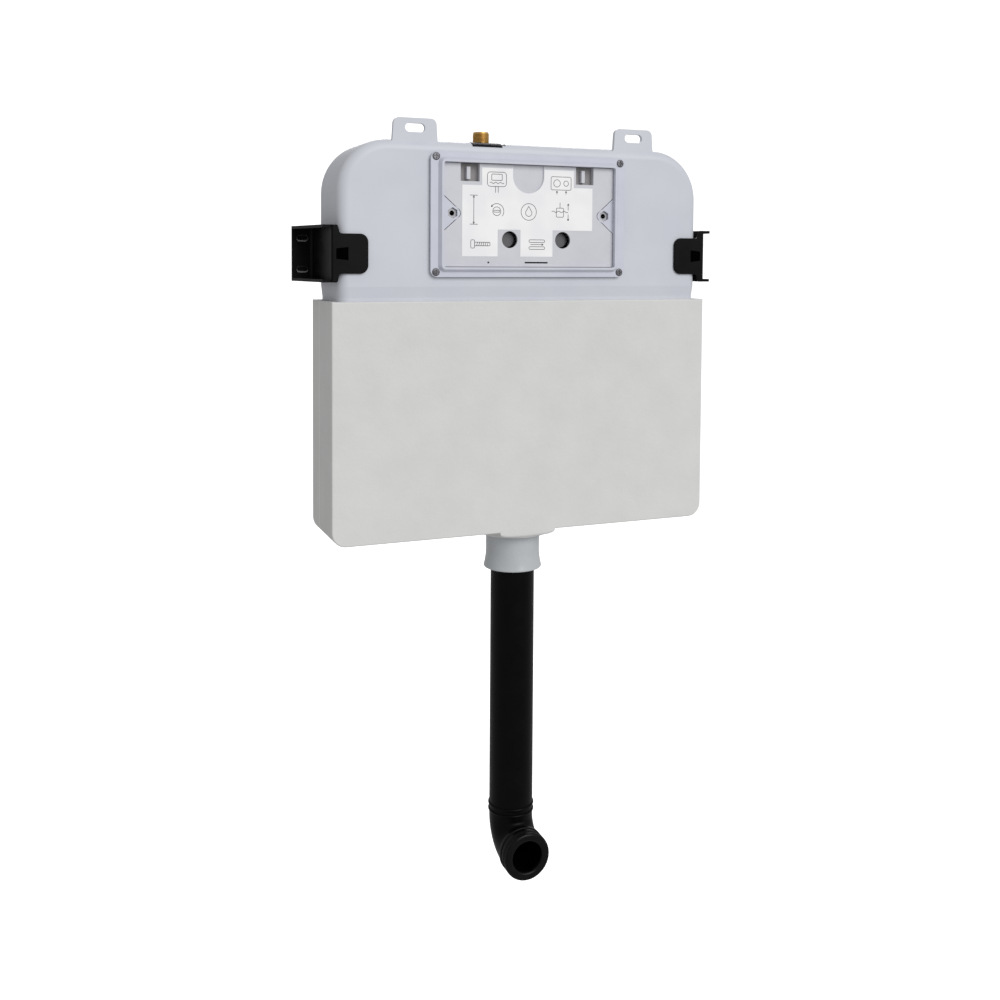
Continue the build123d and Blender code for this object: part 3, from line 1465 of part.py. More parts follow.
def rod_form(x, foot_z, extra_play):
    """A flat rod whose window clears the arm's travel, with a pegged foot."""
    window_top = pivot_z + lever_arm_half + rod_window_top_gap
    window_bottom = pivot_z - lever_arm_half - rod_window_bottom_gap - extra_play
    with BuildPart() as form:
        with BuildSketch(depth_plane(lift_rod_y - rod_sheet / 2)):
            with Locations((x, (window_top + window_bottom) / 2)):
                Rectangle(
                    rod_head_width,
                    window_top - window_bottom + 2 * rod_head_height,
                )
            with Locations((x, (window_bottom + foot_z) / 2)):
                Rectangle(rod_strip_width, window_bottom - foot_z)
            with Locations((x, (window_top + window_bottom) / 2)):
                Rectangle(rod_window_width, window_top - window_bottom, mode=Mode.SUBTRACT)
        extrude(amount=-rod_sheet)
        with BuildSketch(Plane.XY.offset(foot_z)):
            with Locations((x, lift_rod_y)):
                Rectangle(rod_foot_width, 2 * rod_sheet)
        extrude(amount=rod_foot_thickness)
        with BuildSketch(Plane.XY.offset(foot_z)):
            with Locations((x, lift_rod_y)):
                Circle(rod_peg_radius)
        extrude(amount=-rod_peg_length)
    return form.part


with BuildPart() as half_lift_rod:
    add(rod_form(rod_hole_left_x, tube_ear_z, lift_travel))
finish(half_lift_rod, "half_lift_rod")

with BuildPart() as full_lift_rod:
    add(rod_form(rod_hole_right_x, sleeve_ear_z, 0))
finish(full_lift_rod, "full_lift_rod")


# Outlet collar, seal ring and the flush pipe with its elbow

collar_top_z = tank_bottom_z - collar_top_gap
collar_bottom_z = collar_top_z - collar_length
pipe_top_z = tail_end_z - pipe_entry_gap
groove_top_z = pipe_top_z - seal_groove_drop
groove_bottom_z = groove_top_z - seal_groove_height
socket_radius = pipe_radius + collar_socket_play

with BuildPart() as outlet_collar:
    with BuildSketch(depth_plane(axis_y)):
        with BuildLine():
            Polyline(
                (tail_radius + tail_play, collar_top_z),
                (collar_radius, collar_top_z),
                (collar_radius, collar_top_z - collar_straight_length),
                (collar_flare_radius, collar_bottom_z + collar_mouth_height),
                (collar_mouth_radius, collar_bottom_z),
                (socket_radius, collar_bottom_z),
                (socket_radius, groove_bottom_z),
                (socket_radius + seal_groove_depth, groove_bottom_z),
                (socket_radius + seal_groove_depth, groove_top_z),
                (socket_radius, groove_top_z),
                (socket_radius, tail_end_z - pipe_entry_gap / 2),
                (tail_radius + tail_play, tail_end_z - pipe_entry_gap / 2),
                close=True,
            )
        make_face()
    revolve(axis=plan_axis(0, axis_y))
finish(outlet_collar, "outlet_collar")

with BuildPart() as pipe_seal_ring:
    with BuildSketch(Plane.XY.offset(groove_bottom_z + seal_ring_play)):
        with Locations((0, axis_y)):
            Circle(socket_radius + seal_groove_depth - seal_ring_play)
            Circle(pipe_radius + seal_ring_play, mode=Mode.SUBTRACT)
    extrude(amount=seal_groove_height - 2 * seal_ring_play)
finish(pipe_seal_ring, "pipe_seal_ring")

mouth_z = pipe_top_z - pipe_drop
bend_top_z = mouth_z + elbow_radius
bend_front_y = axis_y - elbow_radius
pipe_end_y = axis_y - elbow_reach
with BuildPart() as flush_pipe:
    with BuildLine() as pipe_path:
        Line((0, axis_y, pipe_top_z), (0, axis_y, bend_top_z))
        bend_mid_y = axis_y - elbow_radius * (1 - math.cos(math.pi / 4))
        bend_mid_z = bend_top_z - elbow_radius * math.sin(math.pi / 4)
        ThreePointArc(
            (0, axis_y, bend_top_z),
            (0, bend_mid_y, bend_mid_z),
            (0, bend_front_y, mouth_z),
        )
        Line((0, bend_front_y, mouth_z), (0, pipe_end_y, mouth_z))
    with BuildSketch(Plane.XY.offset(pipe_top_z)):
        with Locations((0, axis_y)):
            Circle(pipe_radius)
            Circle(pipe_radius - pipe_wall, mode=Mode.SUBTRACT)
    sweep(path=pipe_path.wires()[0])
    first_bead_z = bend_top_z + bead_above_bend
    for bead_z in (first_bead_z, first_bead_z + bead_spacing):
        with Locations((0, axis_y, bead_z)):
            Torus(pipe_radius - bead_sink, bead_rise)
finish(flush_pipe, "flush_pipe")

seal_front_y = pipe_end_y - end_seal_lip
seal_back_y = seal_front_y + end_seal_length
band_back_y = seal_front_y + end_seal_band
ring_front_y = seal_back_y - end_seal_ring
with BuildPart() as pipe_end_seal:
    with BuildSketch(side_plane(0)) as seal_profile:
        with BuildLine():
            Polyline(
                (seal_front_y, mouth_z + end_seal_bore_radius),
                (seal_front_y, mouth_z + end_seal_radius),
                (band_back_y, mouth_z + end_seal_radius),
                (band_back_y, mouth_z + end_seal_waist_radius),
                (ring_front_y, mouth_z + end_seal_waist_radius),
                (ring_front_y, mouth_z + end_seal_radius),
                (seal_back_y, mouth_z + end_seal_radius),
                (seal_back_y, mouth_z + pipe_radius + end_seal_play),
                (pipe_end_y, mouth_z + pipe_radius + end_seal_play),
                (pipe_end_y, mouth_z + end_seal_bore_radius),
                close=True,
            )
        make_face()
        front_corners = seal_profile.vertices().group_by(Axis.X)[0]
        fillet(front_corners, end_seal_round)
    revolve(axis=Axis((0, 0, mouth_z), (0, 1, 0)))
finish(pipe_end_seal, "pipe_end_seal")
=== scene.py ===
# %% [markdown]
# # A concealed cistern, dressed for the eye
#
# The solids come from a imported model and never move. This file gives each one
# a finish worked out with nodes, and adds the fine pieces that only the eye
# needs: a screw thread, a flared rim, drawings on a paper label. Everything is
# in metres. +X is right, +Y goes back to the wall and +Z is up, and the origin
# lies between the two hanging slots.

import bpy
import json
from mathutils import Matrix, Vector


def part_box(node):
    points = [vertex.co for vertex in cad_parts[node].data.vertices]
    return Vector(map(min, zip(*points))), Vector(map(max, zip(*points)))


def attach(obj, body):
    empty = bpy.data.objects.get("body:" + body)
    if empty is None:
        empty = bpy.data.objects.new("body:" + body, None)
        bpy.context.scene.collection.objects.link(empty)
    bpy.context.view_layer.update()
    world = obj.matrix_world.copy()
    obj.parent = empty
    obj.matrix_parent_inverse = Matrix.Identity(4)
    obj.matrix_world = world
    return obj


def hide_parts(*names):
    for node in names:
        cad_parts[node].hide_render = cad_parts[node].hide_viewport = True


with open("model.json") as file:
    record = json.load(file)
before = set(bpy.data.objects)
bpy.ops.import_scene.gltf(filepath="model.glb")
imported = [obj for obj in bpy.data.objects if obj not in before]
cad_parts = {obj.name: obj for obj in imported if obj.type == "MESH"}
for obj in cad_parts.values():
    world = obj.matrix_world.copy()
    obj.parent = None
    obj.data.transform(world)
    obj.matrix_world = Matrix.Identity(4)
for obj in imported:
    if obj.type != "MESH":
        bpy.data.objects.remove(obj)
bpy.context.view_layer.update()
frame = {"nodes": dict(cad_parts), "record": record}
nodes = frame["nodes"]

# %% Tools used throughout
import json
import math

import bmesh
import bpy
import numpy as np
from mathutils import Matrix, Vector

MM = 0.001
TAU = 2 * math.pi
print(f"Blender {bpy.app.version_string} with numpy {np.__version__}")

# %% [markdown]
# ## The camera
#
# A camera is known by four things: where it stands, where it points, how long
# its lens is, and where its axis meets the picture. It could be turned by hand
# until the picture looks right. Here all four were worked out from straight
# edges of the object instead, because that is exact. The axis meets the picture
# above its middle, because the picture was cropped, and a lens shift says so.

# %% Camera
IMAGE_PIXELS = 1000
FOCAL_PIXELS = 1137.6
AXIS_ROW_PIXELS = 313.85
SENSOR_MM = 36.0
CAMERA_PLACE_MM = (-452.04, -1043.12, -123.78)
CAMERA_YAW = math.radians(22.135)
CAMERA_PITCH = math.radians(-2.789)
CAMERA_ROLL = math.radians(0.356)
NEAREST = 0.02
FARTHEST = 60.0

camera_data = bpy.data.cameras.new("product_camera")
camera_data.sensor_fit = "HORIZONTAL"
camera_data.sensor_width = SENSOR_MM
camera_data.lens = SENSOR_MM * FOCAL_PIXELS / IMAGE_PIXELS
camera_data.shift_y = -(IMAGE_PIXELS / 2 - AXIS_ROW_PIXELS) / IMAGE_PIXELS
camera_data.clip_start = NEAREST
camera_data.clip_end = FARTHEST
camera = bpy.data.objects.new("product_camera", camera_data)
camera.matrix_world = (
    Matrix.Translation(Vector(CAMERA_PLACE_MM) * MM)
    @ Matrix.Rotation(-CAMERA_YAW, 4, "Z")
    @ Matrix.Rotation(math.pi / 2 + CAMERA_PITCH, 4, "X")
    @ Matrix.Rotation(CAMERA_ROLL, 4, "Z")
)
bpy.context.scene.collection.objects.link(camera)
bpy.context.scene.camera = camera
# The standard view shows a colour as it was given, as a product picture does.
bpy.context.scene.view_settings.view_transform = "Standard"
print(f"camera lens {camera_data.lens:.2f} mm, shift {camera_data.shift_y:.3f}")

# %% [markdown]
# ## Places taken from the solids
#
# New pieces have to meet the solids. Their places could be typed in, but then
# they would be wrong as soon as a solid changed. So they are read from the
# boxes round the solids and from the mounts that the record names.


# %% Measuring helpers
def box_mm(name):
    """The lowest and highest corners of a solid, in millimetres."""
    low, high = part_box(name)
    return np.array(low) / MM, np.array(high) / MM


def mount_mm(name):
    """The place and the sizes of a mount of the record, in millimetres."""
    mount = next(entry for entry in frame["record"]["mounts"] if entry["name"] == name)
    return np.array(mount["pos_m"]) / MM, mount["dims"]


tank_low, tank_high = box_mm("tank")
tank_width, tank_depth, tank_height = tank_high - tank_low
print(f"tank is {tank_width:.0f} mm wide, {tank_depth:.0f} mm deep and {tank_height:.0f} mm high")

# %% [markdown]
# ## Finishes
#
# A finish starts from what the real surface is and how it was made. It could
# be a picture wrapped round the piece, but a pattern worked out by nodes is
# sharp from any distance and has no seams. Each pattern is worked out in
# millimetres on Object coordinates, so it has the right scale and stays put
# when a piece moves. One function adds any node.


# %% One colour and one node
def linear(hex_colour):
    """Turns an sRGB hex value into linear red, green, blue and full alpha."""
    srgb = np.array([int(hex_colour[i:i + 2], 16) for i in (1, 3, 5)]) / 255
    rgb = np.where(srgb <= 0.04045, srgb / 12.92, ((srgb + 0.055) / 1.055) ** 2.4)
    return (*rgb.tolist(), 1.0)


def node(tree, kind, settings=None, inputs=None):
    """Adds a node, sets its properties and feeds its inputs.

    An input that is a node's socket is linked, and any other value is set.
    """
    new = tree.nodes.new(kind)
    for key, value in (settings or {}).items():
        setattr(new, key, value)
    for key, value in (inputs or {}).items():
        if isinstance(value, bpy.types.NodeSocket):
            tree.links.new(value, new.inputs[key])
        else:
            new.inputs[key].default_value = value
    return new


print(f"mid grey #808080 is {linear('#808080')[0]:.3f} in linear light")

# %% [markdown]
# Real surfaces share one build. A broad pattern lets tone and sheen drift, and
# finer ones raise and sink the surface. So one function makes every finish from
# a description: a pattern is its node's kind, settings, inputs and output.

# %% One finish
SPECULAR = "Specular IOR Level"
NOISE_LOW = 0.3
NOISE_HIGH = 0.7


def lumps(size_mm, detail=2.0, rough=0.5):
    """Describes a soft noise whose lumps are about size_mm across."""
    inputs = {"Scale": 1 / (size_mm * MM), "Detail": detail, "Roughness": rough}
    return "ShaderNodeTexNoise", {}, inputs, "Fac"


def finish(
    name,
    tones,
    drift,
    sheen,
    relief=(),
    stops=(NOISE_LOW, NOISE_HIGH),
    stretch=None,
    overlay=None,
    shader_inputs=None,
):
    """Makes a material whose tone, sheen and relief follow patterns.

    tones are the hex colours at the two stops of the drift pattern. sheen is
    one roughness, or the two that the middle of that pattern is spread over.
    relief lists (pattern, depth in mm), each a bump on the one before, and
    stretch scales its coordinates. overlay is a function that paints over the
    tone.
    """
    material = bpy.data.materials.new(name)
    material.use_nodes = True
    tree = material.node_tree
    tree.nodes.clear()
    place = node(tree, "ShaderNodeTexCoord").outputs["Object"]

    def drawn(pattern, where):
        kind, settings, inputs, output = pattern
        return node(tree, kind, settings, {"Vector": where, **inputs}).outputs[output]

    drifting = drawn(drift, place)
    ramp = node(tree, "ShaderNodeValToRGB", inputs={"Fac": drifting})
    for element, stop, tone in zip(ramp.color_ramp.elements, stops, tones):
        element.position = stop
        element.color = linear(tone)
    colour = ramp.outputs["Color"]
    if overlay:
        colour = overlay(tree, place, colour)
    inputs = {"Base Color": colour, "Roughness": sheen}
    if isinstance(sheen, tuple):
        span = {"From Min": NOISE_LOW, "From Max": NOISE_HIGH, "To Min": sheen[0], "To Max": sheen[1]}
        spread = node(tree, "ShaderNodeMapRange", inputs={"Value": drifting, **span})
        inputs["Roughness"] = spread.outputs["Result"]
    if stretch:
        stretched = node(tree, "ShaderNodeMapping", inputs={"Vector": place, "Scale": stretch})
        place = stretched.outputs["Vector"]
    for pattern, depth_mm in relief:
        bump = {"Height": drawn(pattern, place), "Distance": depth_mm * MM, "Strength": 1.0}
        if "Normal" in inputs:
            bump["Normal"] = inputs["Normal"]
        inputs["Normal"] = node(tree, "ShaderNodeBump", inputs=bump).outputs["Normal"]
    shader = node(tree, "ShaderNodeBsdfPrincipled", inputs={**inputs, **(shader_inputs or {})})
    node(tree, "ShaderNodeOutputMaterial", inputs={"Surface": shader.outputs["BSDF"]})
    print(f"{name}: {len(tree.nodes)} nodes")
    return material


# %% [markdown]
# ### Polyethylene, blow-moulded
#
# The tank was blown against a cold mould. Its skin is even in colour, with a
# broad soft waviness, a fine grain from the sand-blasted mould and a dull
# sheen that changes a little from place to place. One flat colour would look
# like paint, so a slow noise moves tone and sheen by a few hundredths.

# %% Tank finish
TANK_CLOUD = 70.0
TANK_WAVE = 45.0
# The real grain is about 0.2 mm. It is drawn coarser, so that it shows.
TANK_GRAIN = 0.9

tank_finish = finish(
    "polyethylene_blown",
    ("#CFD2DB", "#D5D8DF"),
    lumps(TANK_CLOUD, detail=3.0),
    (0.42, 0.52),
    relief=[(lumps(TANK_WAVE, detail=1.0), 0.9), (lumps(TANK_GRAIN), 0.03)],
)

# %% [markdown]
# ### Polystyrene foam, steam-moulded
#
# The jacket is made of beads that steam has pressed together in a smooth
# mould. The beads barely show, because their joints only sink a little. Beads
# could be modelled one by one, but a cell pattern of their size gives the same
# play of light. Where the two shells meet, the bevelled edge of the rear one
# catches the light, so a pale line is painted there by depth.

# %% Foam finish
BEAD = 3.2
FOAM_CLOUD = 34.0
# The pores between the beads are finer than this in truth.
FOAM_PORE = 1.1
SEAM_HALF = 0.7
# A Mix node of colours has these inputs and this output.
MIX_FACTOR, MIX_UNDER, MIX_OVER, MIX_RESULT = 0, 6, 7, 2

jacket_seam = box_mm("jacket_rear")[0][1]
foam_clouds = lumps(FOAM_CLOUD, detail=5.0, rough=0.55)
bead_cells = {"Scale": 1 / (BEAD * MM), "Smoothness": 0.6}
beads = ("ShaderNodeTexVoronoi", {"feature": "SMOOTH_F1"}, bead_cells, "Distance")


def seam_line(tree, place, tone):
    """Paints the tone pale where |depth - (seam + half)| <= half."""
    depth = node(tree, "ShaderNodeSeparateXYZ", inputs={"Vector": place}).outputs["Y"]
    near = {0: depth, 1: (jacket_seam + SEAM_HALF) * MM, 2: SEAM_HALF * MM}
    edge = node(tree, "ShaderNodeMath", {"operation": "COMPARE"}, near).outputs[0]
    paint = {MIX_FACTOR: edge, MIX_UNDER: tone, MIX_OVER: linear("#F4F4F2")}
    return node(tree, "ShaderNodeMix", {"data_type": "RGBA"}, paint).outputs[MIX_RESULT]


jacket_finish = finish(
    "polystyrene_foam",
    ("#DADAD9", "#DFDFDE"),
    foam_clouds,
    0.85,
    relief=[(foam_clouds, 0.8), (beads, 0.10), (lumps(FOAM_PORE), 0.04)],
    overlay=seam_line,
    shader_inputs={SPECULAR: 0.3},
)
print(f"the shells meet {jacket_seam:.1f} mm behind the hanging tabs' backs")

# %% [markdown]
# ### Moulded plastics
#
# These parts are all injection-moulded, so they share a build: a faint drift
# of tone, shallow sink marks and the mould's grain. The frame and its cover
# are a lavender grey polypropylene like the tank. The brackets are black glass
# filled polyamide, with a coarser grain and little shine. The valve's parts are
# acetal, which is smooth and slightly glossy. The collar is polypropylene from
# a polished mould. The painted steel plate is built in the same way, with a
# finish that hardly reflects. Three more finishes are painted light, built in
# the same way: a black that hardly reflects is painted shade on the floors of
# the tongue pockets, a mid grey is painted shade on the floors of the latch
# pockets, and a pale grey is a painted glint on the lower lips of the slots.

# %% Moulded plastic finishes
MOULD_DRIFT = 22.0
SINK_MARK = 30.0
SINK_DEPTH = 0.25
# Both grains are drawn some four times coarser than they are, to be seen.
FINE_GRAIN = (0.6, 0.012)
COARSE_GRAIN = (0.8, 0.03)


def moulded(name, tones, sheen, grain=FINE_GRAIN, specular=0.5):
    """A finish with sink marks and a grain of (size, depth) in millimetres."""
    grain_size, grain_depth = grain
    drift = lumps(MOULD_DRIFT, detail=3.0)
    relief = [(lumps(SINK_MARK, detail=1.0), SINK_DEPTH), (lumps(grain_size), grain_depth)]
    return finish(name, tones, drift, sheen, relief, shader_inputs={SPECULAR: specular})


frame_finish = moulded("polypropylene_grey", ("#CDCFDC", "#D3D5E0"), (0.34, 0.42))
cover_finish = moulded("polypropylene_cover", ("#D0D1D8", "#D6D7DC"), (0.38, 0.46))
# Painted shade: a darker grey for the floors of the latch pockets.
latch_shade_paint = moulded("painted_latch_pocket_shade", ("#8C8988", "#949190"), (0.45, 0.55))
collar_finish = moulded("polypropylene_collar", ("#B9BDC1", "#C1C5C8"), (0.22, 0.30))
white_finish = moulded("acetal_white", ("#E4E5E6", "#EDEDEE"), (0.28, 0.36))
blue_finish = moulded("acetal_blue", ("#2B5C9C", "#33659F"), (0.28, 0.36))
lever_finish = moulded("acetal_smoke", ("#5C5C60", "#66666A"), (0.34, 0.42))
bracket_finish = moulded("polyamide_black", ("#0A0A0C", "#0E0E10"), (0.30, 0.42), COARSE_GRAIN, 0.10)
# Painted shade: a black that hardly reflects, for the floors of the tongue pockets.
pocket_shade_paint = moulded("painted_tongue_pocket_shade", ("#020203", "#040405"), (0.85, 0.95), specular=0.0)
# Painted glint: a pale grey for the beads on the slots' lower lips.
slot_glint_paint = moulded("painted_slot_glint", ("#88888C", "#98989C"), (0.20, 0.28))
plate_finish = moulded("steel_painted", ("#14141B", "#1A1A22"), (0.5, 0.6), specular=0.08)

# %% [markdown]
# ### Drawn pipe and moulded rubber
#
# The flush pipe is black polyethylene, pressed through a die. The die leaves
# very fine lines along the pipe, which stretch a highlight lengthways: a noise
# on coordinates that are squeezed along Z draws such lines. Rubber is dull, and
# slightly grey where talc stays on it.

# %% Pipe and rubber finishes
# Die lines are hair fine. They are drawn 1 mm apart, so that they show.
DIE_LINE = 1.1
ALONG_PIPE = (1.0, 1.0, 0.03)
SCUFF = 16.0
TALC = 6.0
RUBBER_GRAIN = 0.7

pipe_finish = finish(
    "polyethylene_pipe",
    ("#030304", "#060607"),
    lumps(SCUFF, detail=6.0, rough=0.65),
    (0.26, 0.44),
    relief=[(lumps(DIE_LINE), 0.035)],
    stops=(0.35, 0.72),
    stretch=ALONG_PIPE,
    shader_inputs={SPECULAR: 0.09},
)
rubber_finish = finish(
    "rubber_moulded",
    ("#040404", "#0A0A0B"),
    lumps(TALC, detail=5.0, rough=0.6),
    (0.22, 0.40),
    relief=[(lumps(RUBBER_GRAIN), 0.03)],
    stops=(0.35, 0.75),
    shader_inputs={SPECULAR: 0.16},
)

# %% [markdown]
# ### Brass and zinc
#
# The brass stub was turned on a lathe, so it has rings round its axis and a
# brownish film. Screws and nuts are zinc plated: the screws get a darker zinc
# and the nuts a bright one. A metal has no colour of its own below its
# shine, so the shader's Metallic is 1 and its tone tints the reflections.


# %% Metal finishes
ACROSS_AXIS = (0.04, 0.04, 1.0)
METAL_FILM = 5.0
TOOL_LINE_DEPTH = 0.02


def metal(name, tones, sheen, tool_line):
    """A finish with a varied film over fine tool lines across Z."""
    film = lumps(METAL_FILM, detail=4.0, rough=0.6)
    relief = [(lumps(tool_line), TOOL_LINE_DEPTH)]
    return finish(name, tones, film, sheen, relief, stretch=ACROSS_AXIS, shader_inputs={"Metallic": 1.0})


brass_finish = metal("brass_turned", ("#DDB56C", "#C79C58"), (0.42, 0.54), tool_line=0.4)
nut_finish = metal("zinc_bright", ("#98989C", "#ACACB0"), (0.36, 0.50), tool_line=0.5)
zinc_finish = metal("zinc_plated", ("#67676B", "#7C7C80"), (0.26, 0.40), tool_line=0.5)

# %% [markdown]
# ### Paper and ink
#
# The label is coated paper with a faint tooth. It is glued on by hand, so it
# cockles a little. The ink is a dark grey that covers the paper unevenly.

# %% Paper and ink finishes
COCKLE = 26.0
# The tooth of paper is a tenth of this, which no picture would show.
TOOTH = 0.5

paper_cockle = lumps(COCKLE, detail=1.0)
paper_finish = finish(
    "paper_coated",
    ("#F6F6F8", "#FDFDFD"),
    paper_cockle,
    0.48,
    relief=[(paper_cockle, 0.35), (lumps(TOOTH, detail=3.0), 0.012)],
    stops=(0.35, 0.65),
)
ink_finish = finish("printing_ink", ("#2C2C31", "#4A4A50"), lumps(TOOTH), 0.5)

# %% [markdown]
# ### Each solid gets its finish
#
# The record names a slot for every solid, and solids made alike share a slot
# and so a finish. Three kinds differ in shade from the rest of their slot, so
# they are dressed after it.

# %% Give the solids their finishes
slot_finish = {
    "tank_plastic": tank_finish,
    "jacket_foam": jacket_finish,
    "frame_plastic": frame_finish,
    "black_plastic": bracket_finish,
    "pipe_plastic": pipe_finish,
    "collar_plastic": collar_finish,
    "white_plastic": white_finish,
    "blue_plastic": blue_finish,
    "brass": brass_finish,
    "zinc_steel": zinc_finish,
    "rubber": rubber_finish,
    "label_paper": paper_finish,
}
own_finish = {
    "cover_plate": cover_finish,
    "full_flush_lever": lever_finish,
    "half_flush_lever": lever_finish,
    "plate_fixing_nuts": nut_finish,
}
for entry in frame["record"]["subparts"]:
    solid = nodes[entry["node"]]
    solid.data.materials.clear()
    solid.data.materials.append(own_finish.get(entry["node"], slot_finish[entry["material_slot"]]))
print(f"{len(slot_finish)} slots dressed, and {len(own_finish)} solids on their own")

# %% [markdown]
# ## Surfaces from formulas
#
# A turned or moulded piece is a surface with two parameters. One runs round
# it and the other runs along it, so its points form a grid. Such a piece could
# be pulled into shape by hand, but a formula gives the exact form again every
# time. numpy works out the whole grid at once, and each cell becomes one face.

# %% Grids
WELD_DISTANCE = 1e-6


def grid_faces(rows, columns, close_rows=False, close_columns=False):
    """Quads of a rows x columns grid of points, wrapped where it closes."""
    i = np.arange(rows if close_rows else rows - 1)
    j = np.arange(columns if close_columns else columns - 1)
    i, j = (a.ravel() for a in np.meshgrid(i, j, indexing="ij"))
    i_next, j_next = (i + 1) % rows, (j + 1) % columns
    corners = (i * columns + j, i * columns + j_next, i_next * columns + j_next, i_next * columns + j)
    return np.stack(corners, axis=1)


def mesh_object(name, points, faces, smooth_angle=40.0, weld=False):
    """Makes an object from points in metres and faces of equal corner count.

    Weld merges the points that lie on one another, which closes a pole.
    """
    mesh = bpy.data.meshes.new(name)
    mesh.from_pydata(points.tolist(), [], faces.tolist())
    if weld:
        merged = bmesh.new()
        merged.from_mesh(mesh)
        bmesh.ops.remove_doubles(merged, verts=merged.verts, dist=WELD_DISTANCE)
        merged.to_mesh(mesh)
        merged.free()
    mesh.validate()
    mesh.update()
    piece = bpy.data.objects.new(name, mesh)
    bpy.context.scene.collection.objects.link(piece)
    mesh.shade_smooth()
    mesh.set_sharp_from_angle(angle=math.radians(smooth_angle))
    return piece


print(f"a grid of 3 x 4 points has {len(grid_faces(3, 4))} faces")

# %% [markdown]
# A new piece also needs the body that it moves with, its finish and, where it
# stands for a solid, that solid's name. Forms that always move together are
# stacked into one piece first.


# %% New pieces
def joined(parts):
    """Stacks several (points, faces) pairs into one pair."""
    counts = np.cumsum([0] + [len(points) for points, _ in parts])
    points = np.concatenate([points for points, _ in parts])
    faces = np.concatenate([faces + start for (_, faces), start in zip(parts, counts)])
    return points, faces


def ride(piece, body, material, replaces=None):
    """Gives a new piece its body and its finish."""
    piece.data.materials.append(material)
    if replaces:
        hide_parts(replaces)
    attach(piece, body)
    print(f"{piece.name}: {len(piece.data.polygons)} faces on {body}")
    return piece


# %% [markdown]
# Stub, collar and rubber end are all round, so they are turned: a profile of
# (radius, height) is carried round an axis. The Screw modifier does the same,
# but here a swell may change the radius from point to point, for a thread or
# for ribs. Bends and walls are the stretches that a profile is put together of.


# %% Turned forms
def lathe(profile_mm, origin_mm, axis, segments=96, closed=True, swell=None):
    """Points and faces of a turned form, whose profile runs down its outside.

    Each profile point is (radius, height). A point at turn t lies at
    origin + height * axis + radius * (cos t * u + sin t * v), where u and v
    are at right angles to the axis. What swell(t, height, radius) gives is
    added to the radius.
    """
    radius, height = np.asarray(profile_mm, float).T
    axis = np.asarray(axis, float)
    u = np.array([1.0, 0, 0]) if abs(axis[0]) < 0.5 else np.array([0, 1.0, 0])
    v = np.cross(axis, u)
    turn = np.linspace(0, TAU, segments, endpoint=False)[:, None]
    ring = np.cos(turn) * u + np.sin(turn) * v
    reach = np.broadcast_to(radius, (segments, len(radius)))
    if swell:
        reach = reach + swell(turn, height[None, :], radius[None, :])
    points = np.asarray(origin_mm, float) + height[None, :, None] * axis + reach[:, :, None] * ring[:, None]
    faces = grid_faces(segments, len(radius), close_rows=True, close_columns=closed)
    return points.reshape(-1, 3) * MM, faces


def bend(centre, radius, start, end, steps=6):
    """Profile points round a corner: centre + radius * (cos a, sin a)."""
    angle = np.radians(np.linspace(start, end, steps))
    return np.stack([centre[0] + radius * np.cos(angle), centre[1] + radius * np.sin(angle)], axis=1)


def wall(radii, heights):
    """Profile points of many heights, with one radius or as many radii."""
    return np.stack(np.broadcast_arrays(radii, heights), axis=1)


print(f"a quarter bend of radius 1 starts at {bend((0, 0), 1, 0, 90)[0]}")

# %% [markdown]
# ## The threaded inlet
#
# The brass stub carries a pipe thread G3/8, which has 19 turns to the inch.
# Blender could cut it with a Screw modifier, but a swell on a turned form is
# closed from the start. The thread is a ridge that climbs by one pitch in each
# turn, so the share h / pitch - t / TAU, less its whole part, says where on
# the ridge a point lies. A triangle of that share makes the two flanks.

# %% Inlet thread
THREAD_PITCH = 25.4 / 19
THREAD_DEPTH = 0.5
CREST_CUT = 1.2
ROOT_FILL = 0.1
INLET_BORE = 4.5
THREAD_ROWS = 96

inlet_place, inlet_sizes = mount_mm("inlet_thread")
inlet_x, inlet_y, thread_middle = inlet_place
stub_radius = inlet_sizes["r_mm"]
root_radius = stub_radius - THREAD_DEPTH
thread_half = inlet_sizes["length_mm"] / 2
thread_heights = np.linspace(thread_middle + thread_half, thread_middle - thread_half, THREAD_ROWS)


def thread_ridge(turn, height, radius):
    """depth * (1 - |2 * share - 1|), faded over half a pitch at each end."""
    share = np.mod(height / THREAD_PITCH - turn / TAU, 1.0)
    inside = thread_half - np.abs(height - thread_middle)
    fade = np.clip(2 * inside / THREAD_PITCH, 0, 1)
    ridge = np.clip(CREST_CUT * (1 - np.abs(2 * share - 1)), ROOT_FILL, 1.0)
    return THREAD_DEPTH * fade * ridge * (radius > INLET_BORE)


print(f"thread of {2 * thread_half / THREAD_PITCH:.1f} turns round a core of {root_radius:.2f} mm")

# %% [markdown]
# Below the tank's roof the stub widens to a shoulder and a barrel. A branch
# leads to the fill valve's tube and a bonnet holds the spindle. These are three
# turned forms that pass into one another, as the casting does.

# %% Inlet valve
SPINDLE_BORE = 3.1
CORE_RADIUS = 1.0
STUB_CHAMFER = 0.3
BARREL_RADIUS = 9.0
BRANCH_RADIUS = 7.5
BONNET_RADIUS = 7.0
BONNET_ROUND = 1.0
SHOULDER_HEIGHT = 3.0

valve_low, valve_high = box_mm("stop_valve_body")
gasket_low, gasket_high = box_mm("inlet_gasket")
tube_low, tube_high = box_mm("supply_tube")
block_low, block_high = box_mm("inlet_plate")
shoulder_radius = gasket_high[0] - inlet_x
shoulder_base = gasket_low[2] - SHOULDER_HEIGHT
branch_height = (tube_high[2] + tube_low[2]) / 2
branch_reach = inlet_x - valve_low[0]
bonnet_reach = inlet_y - valve_low[1]

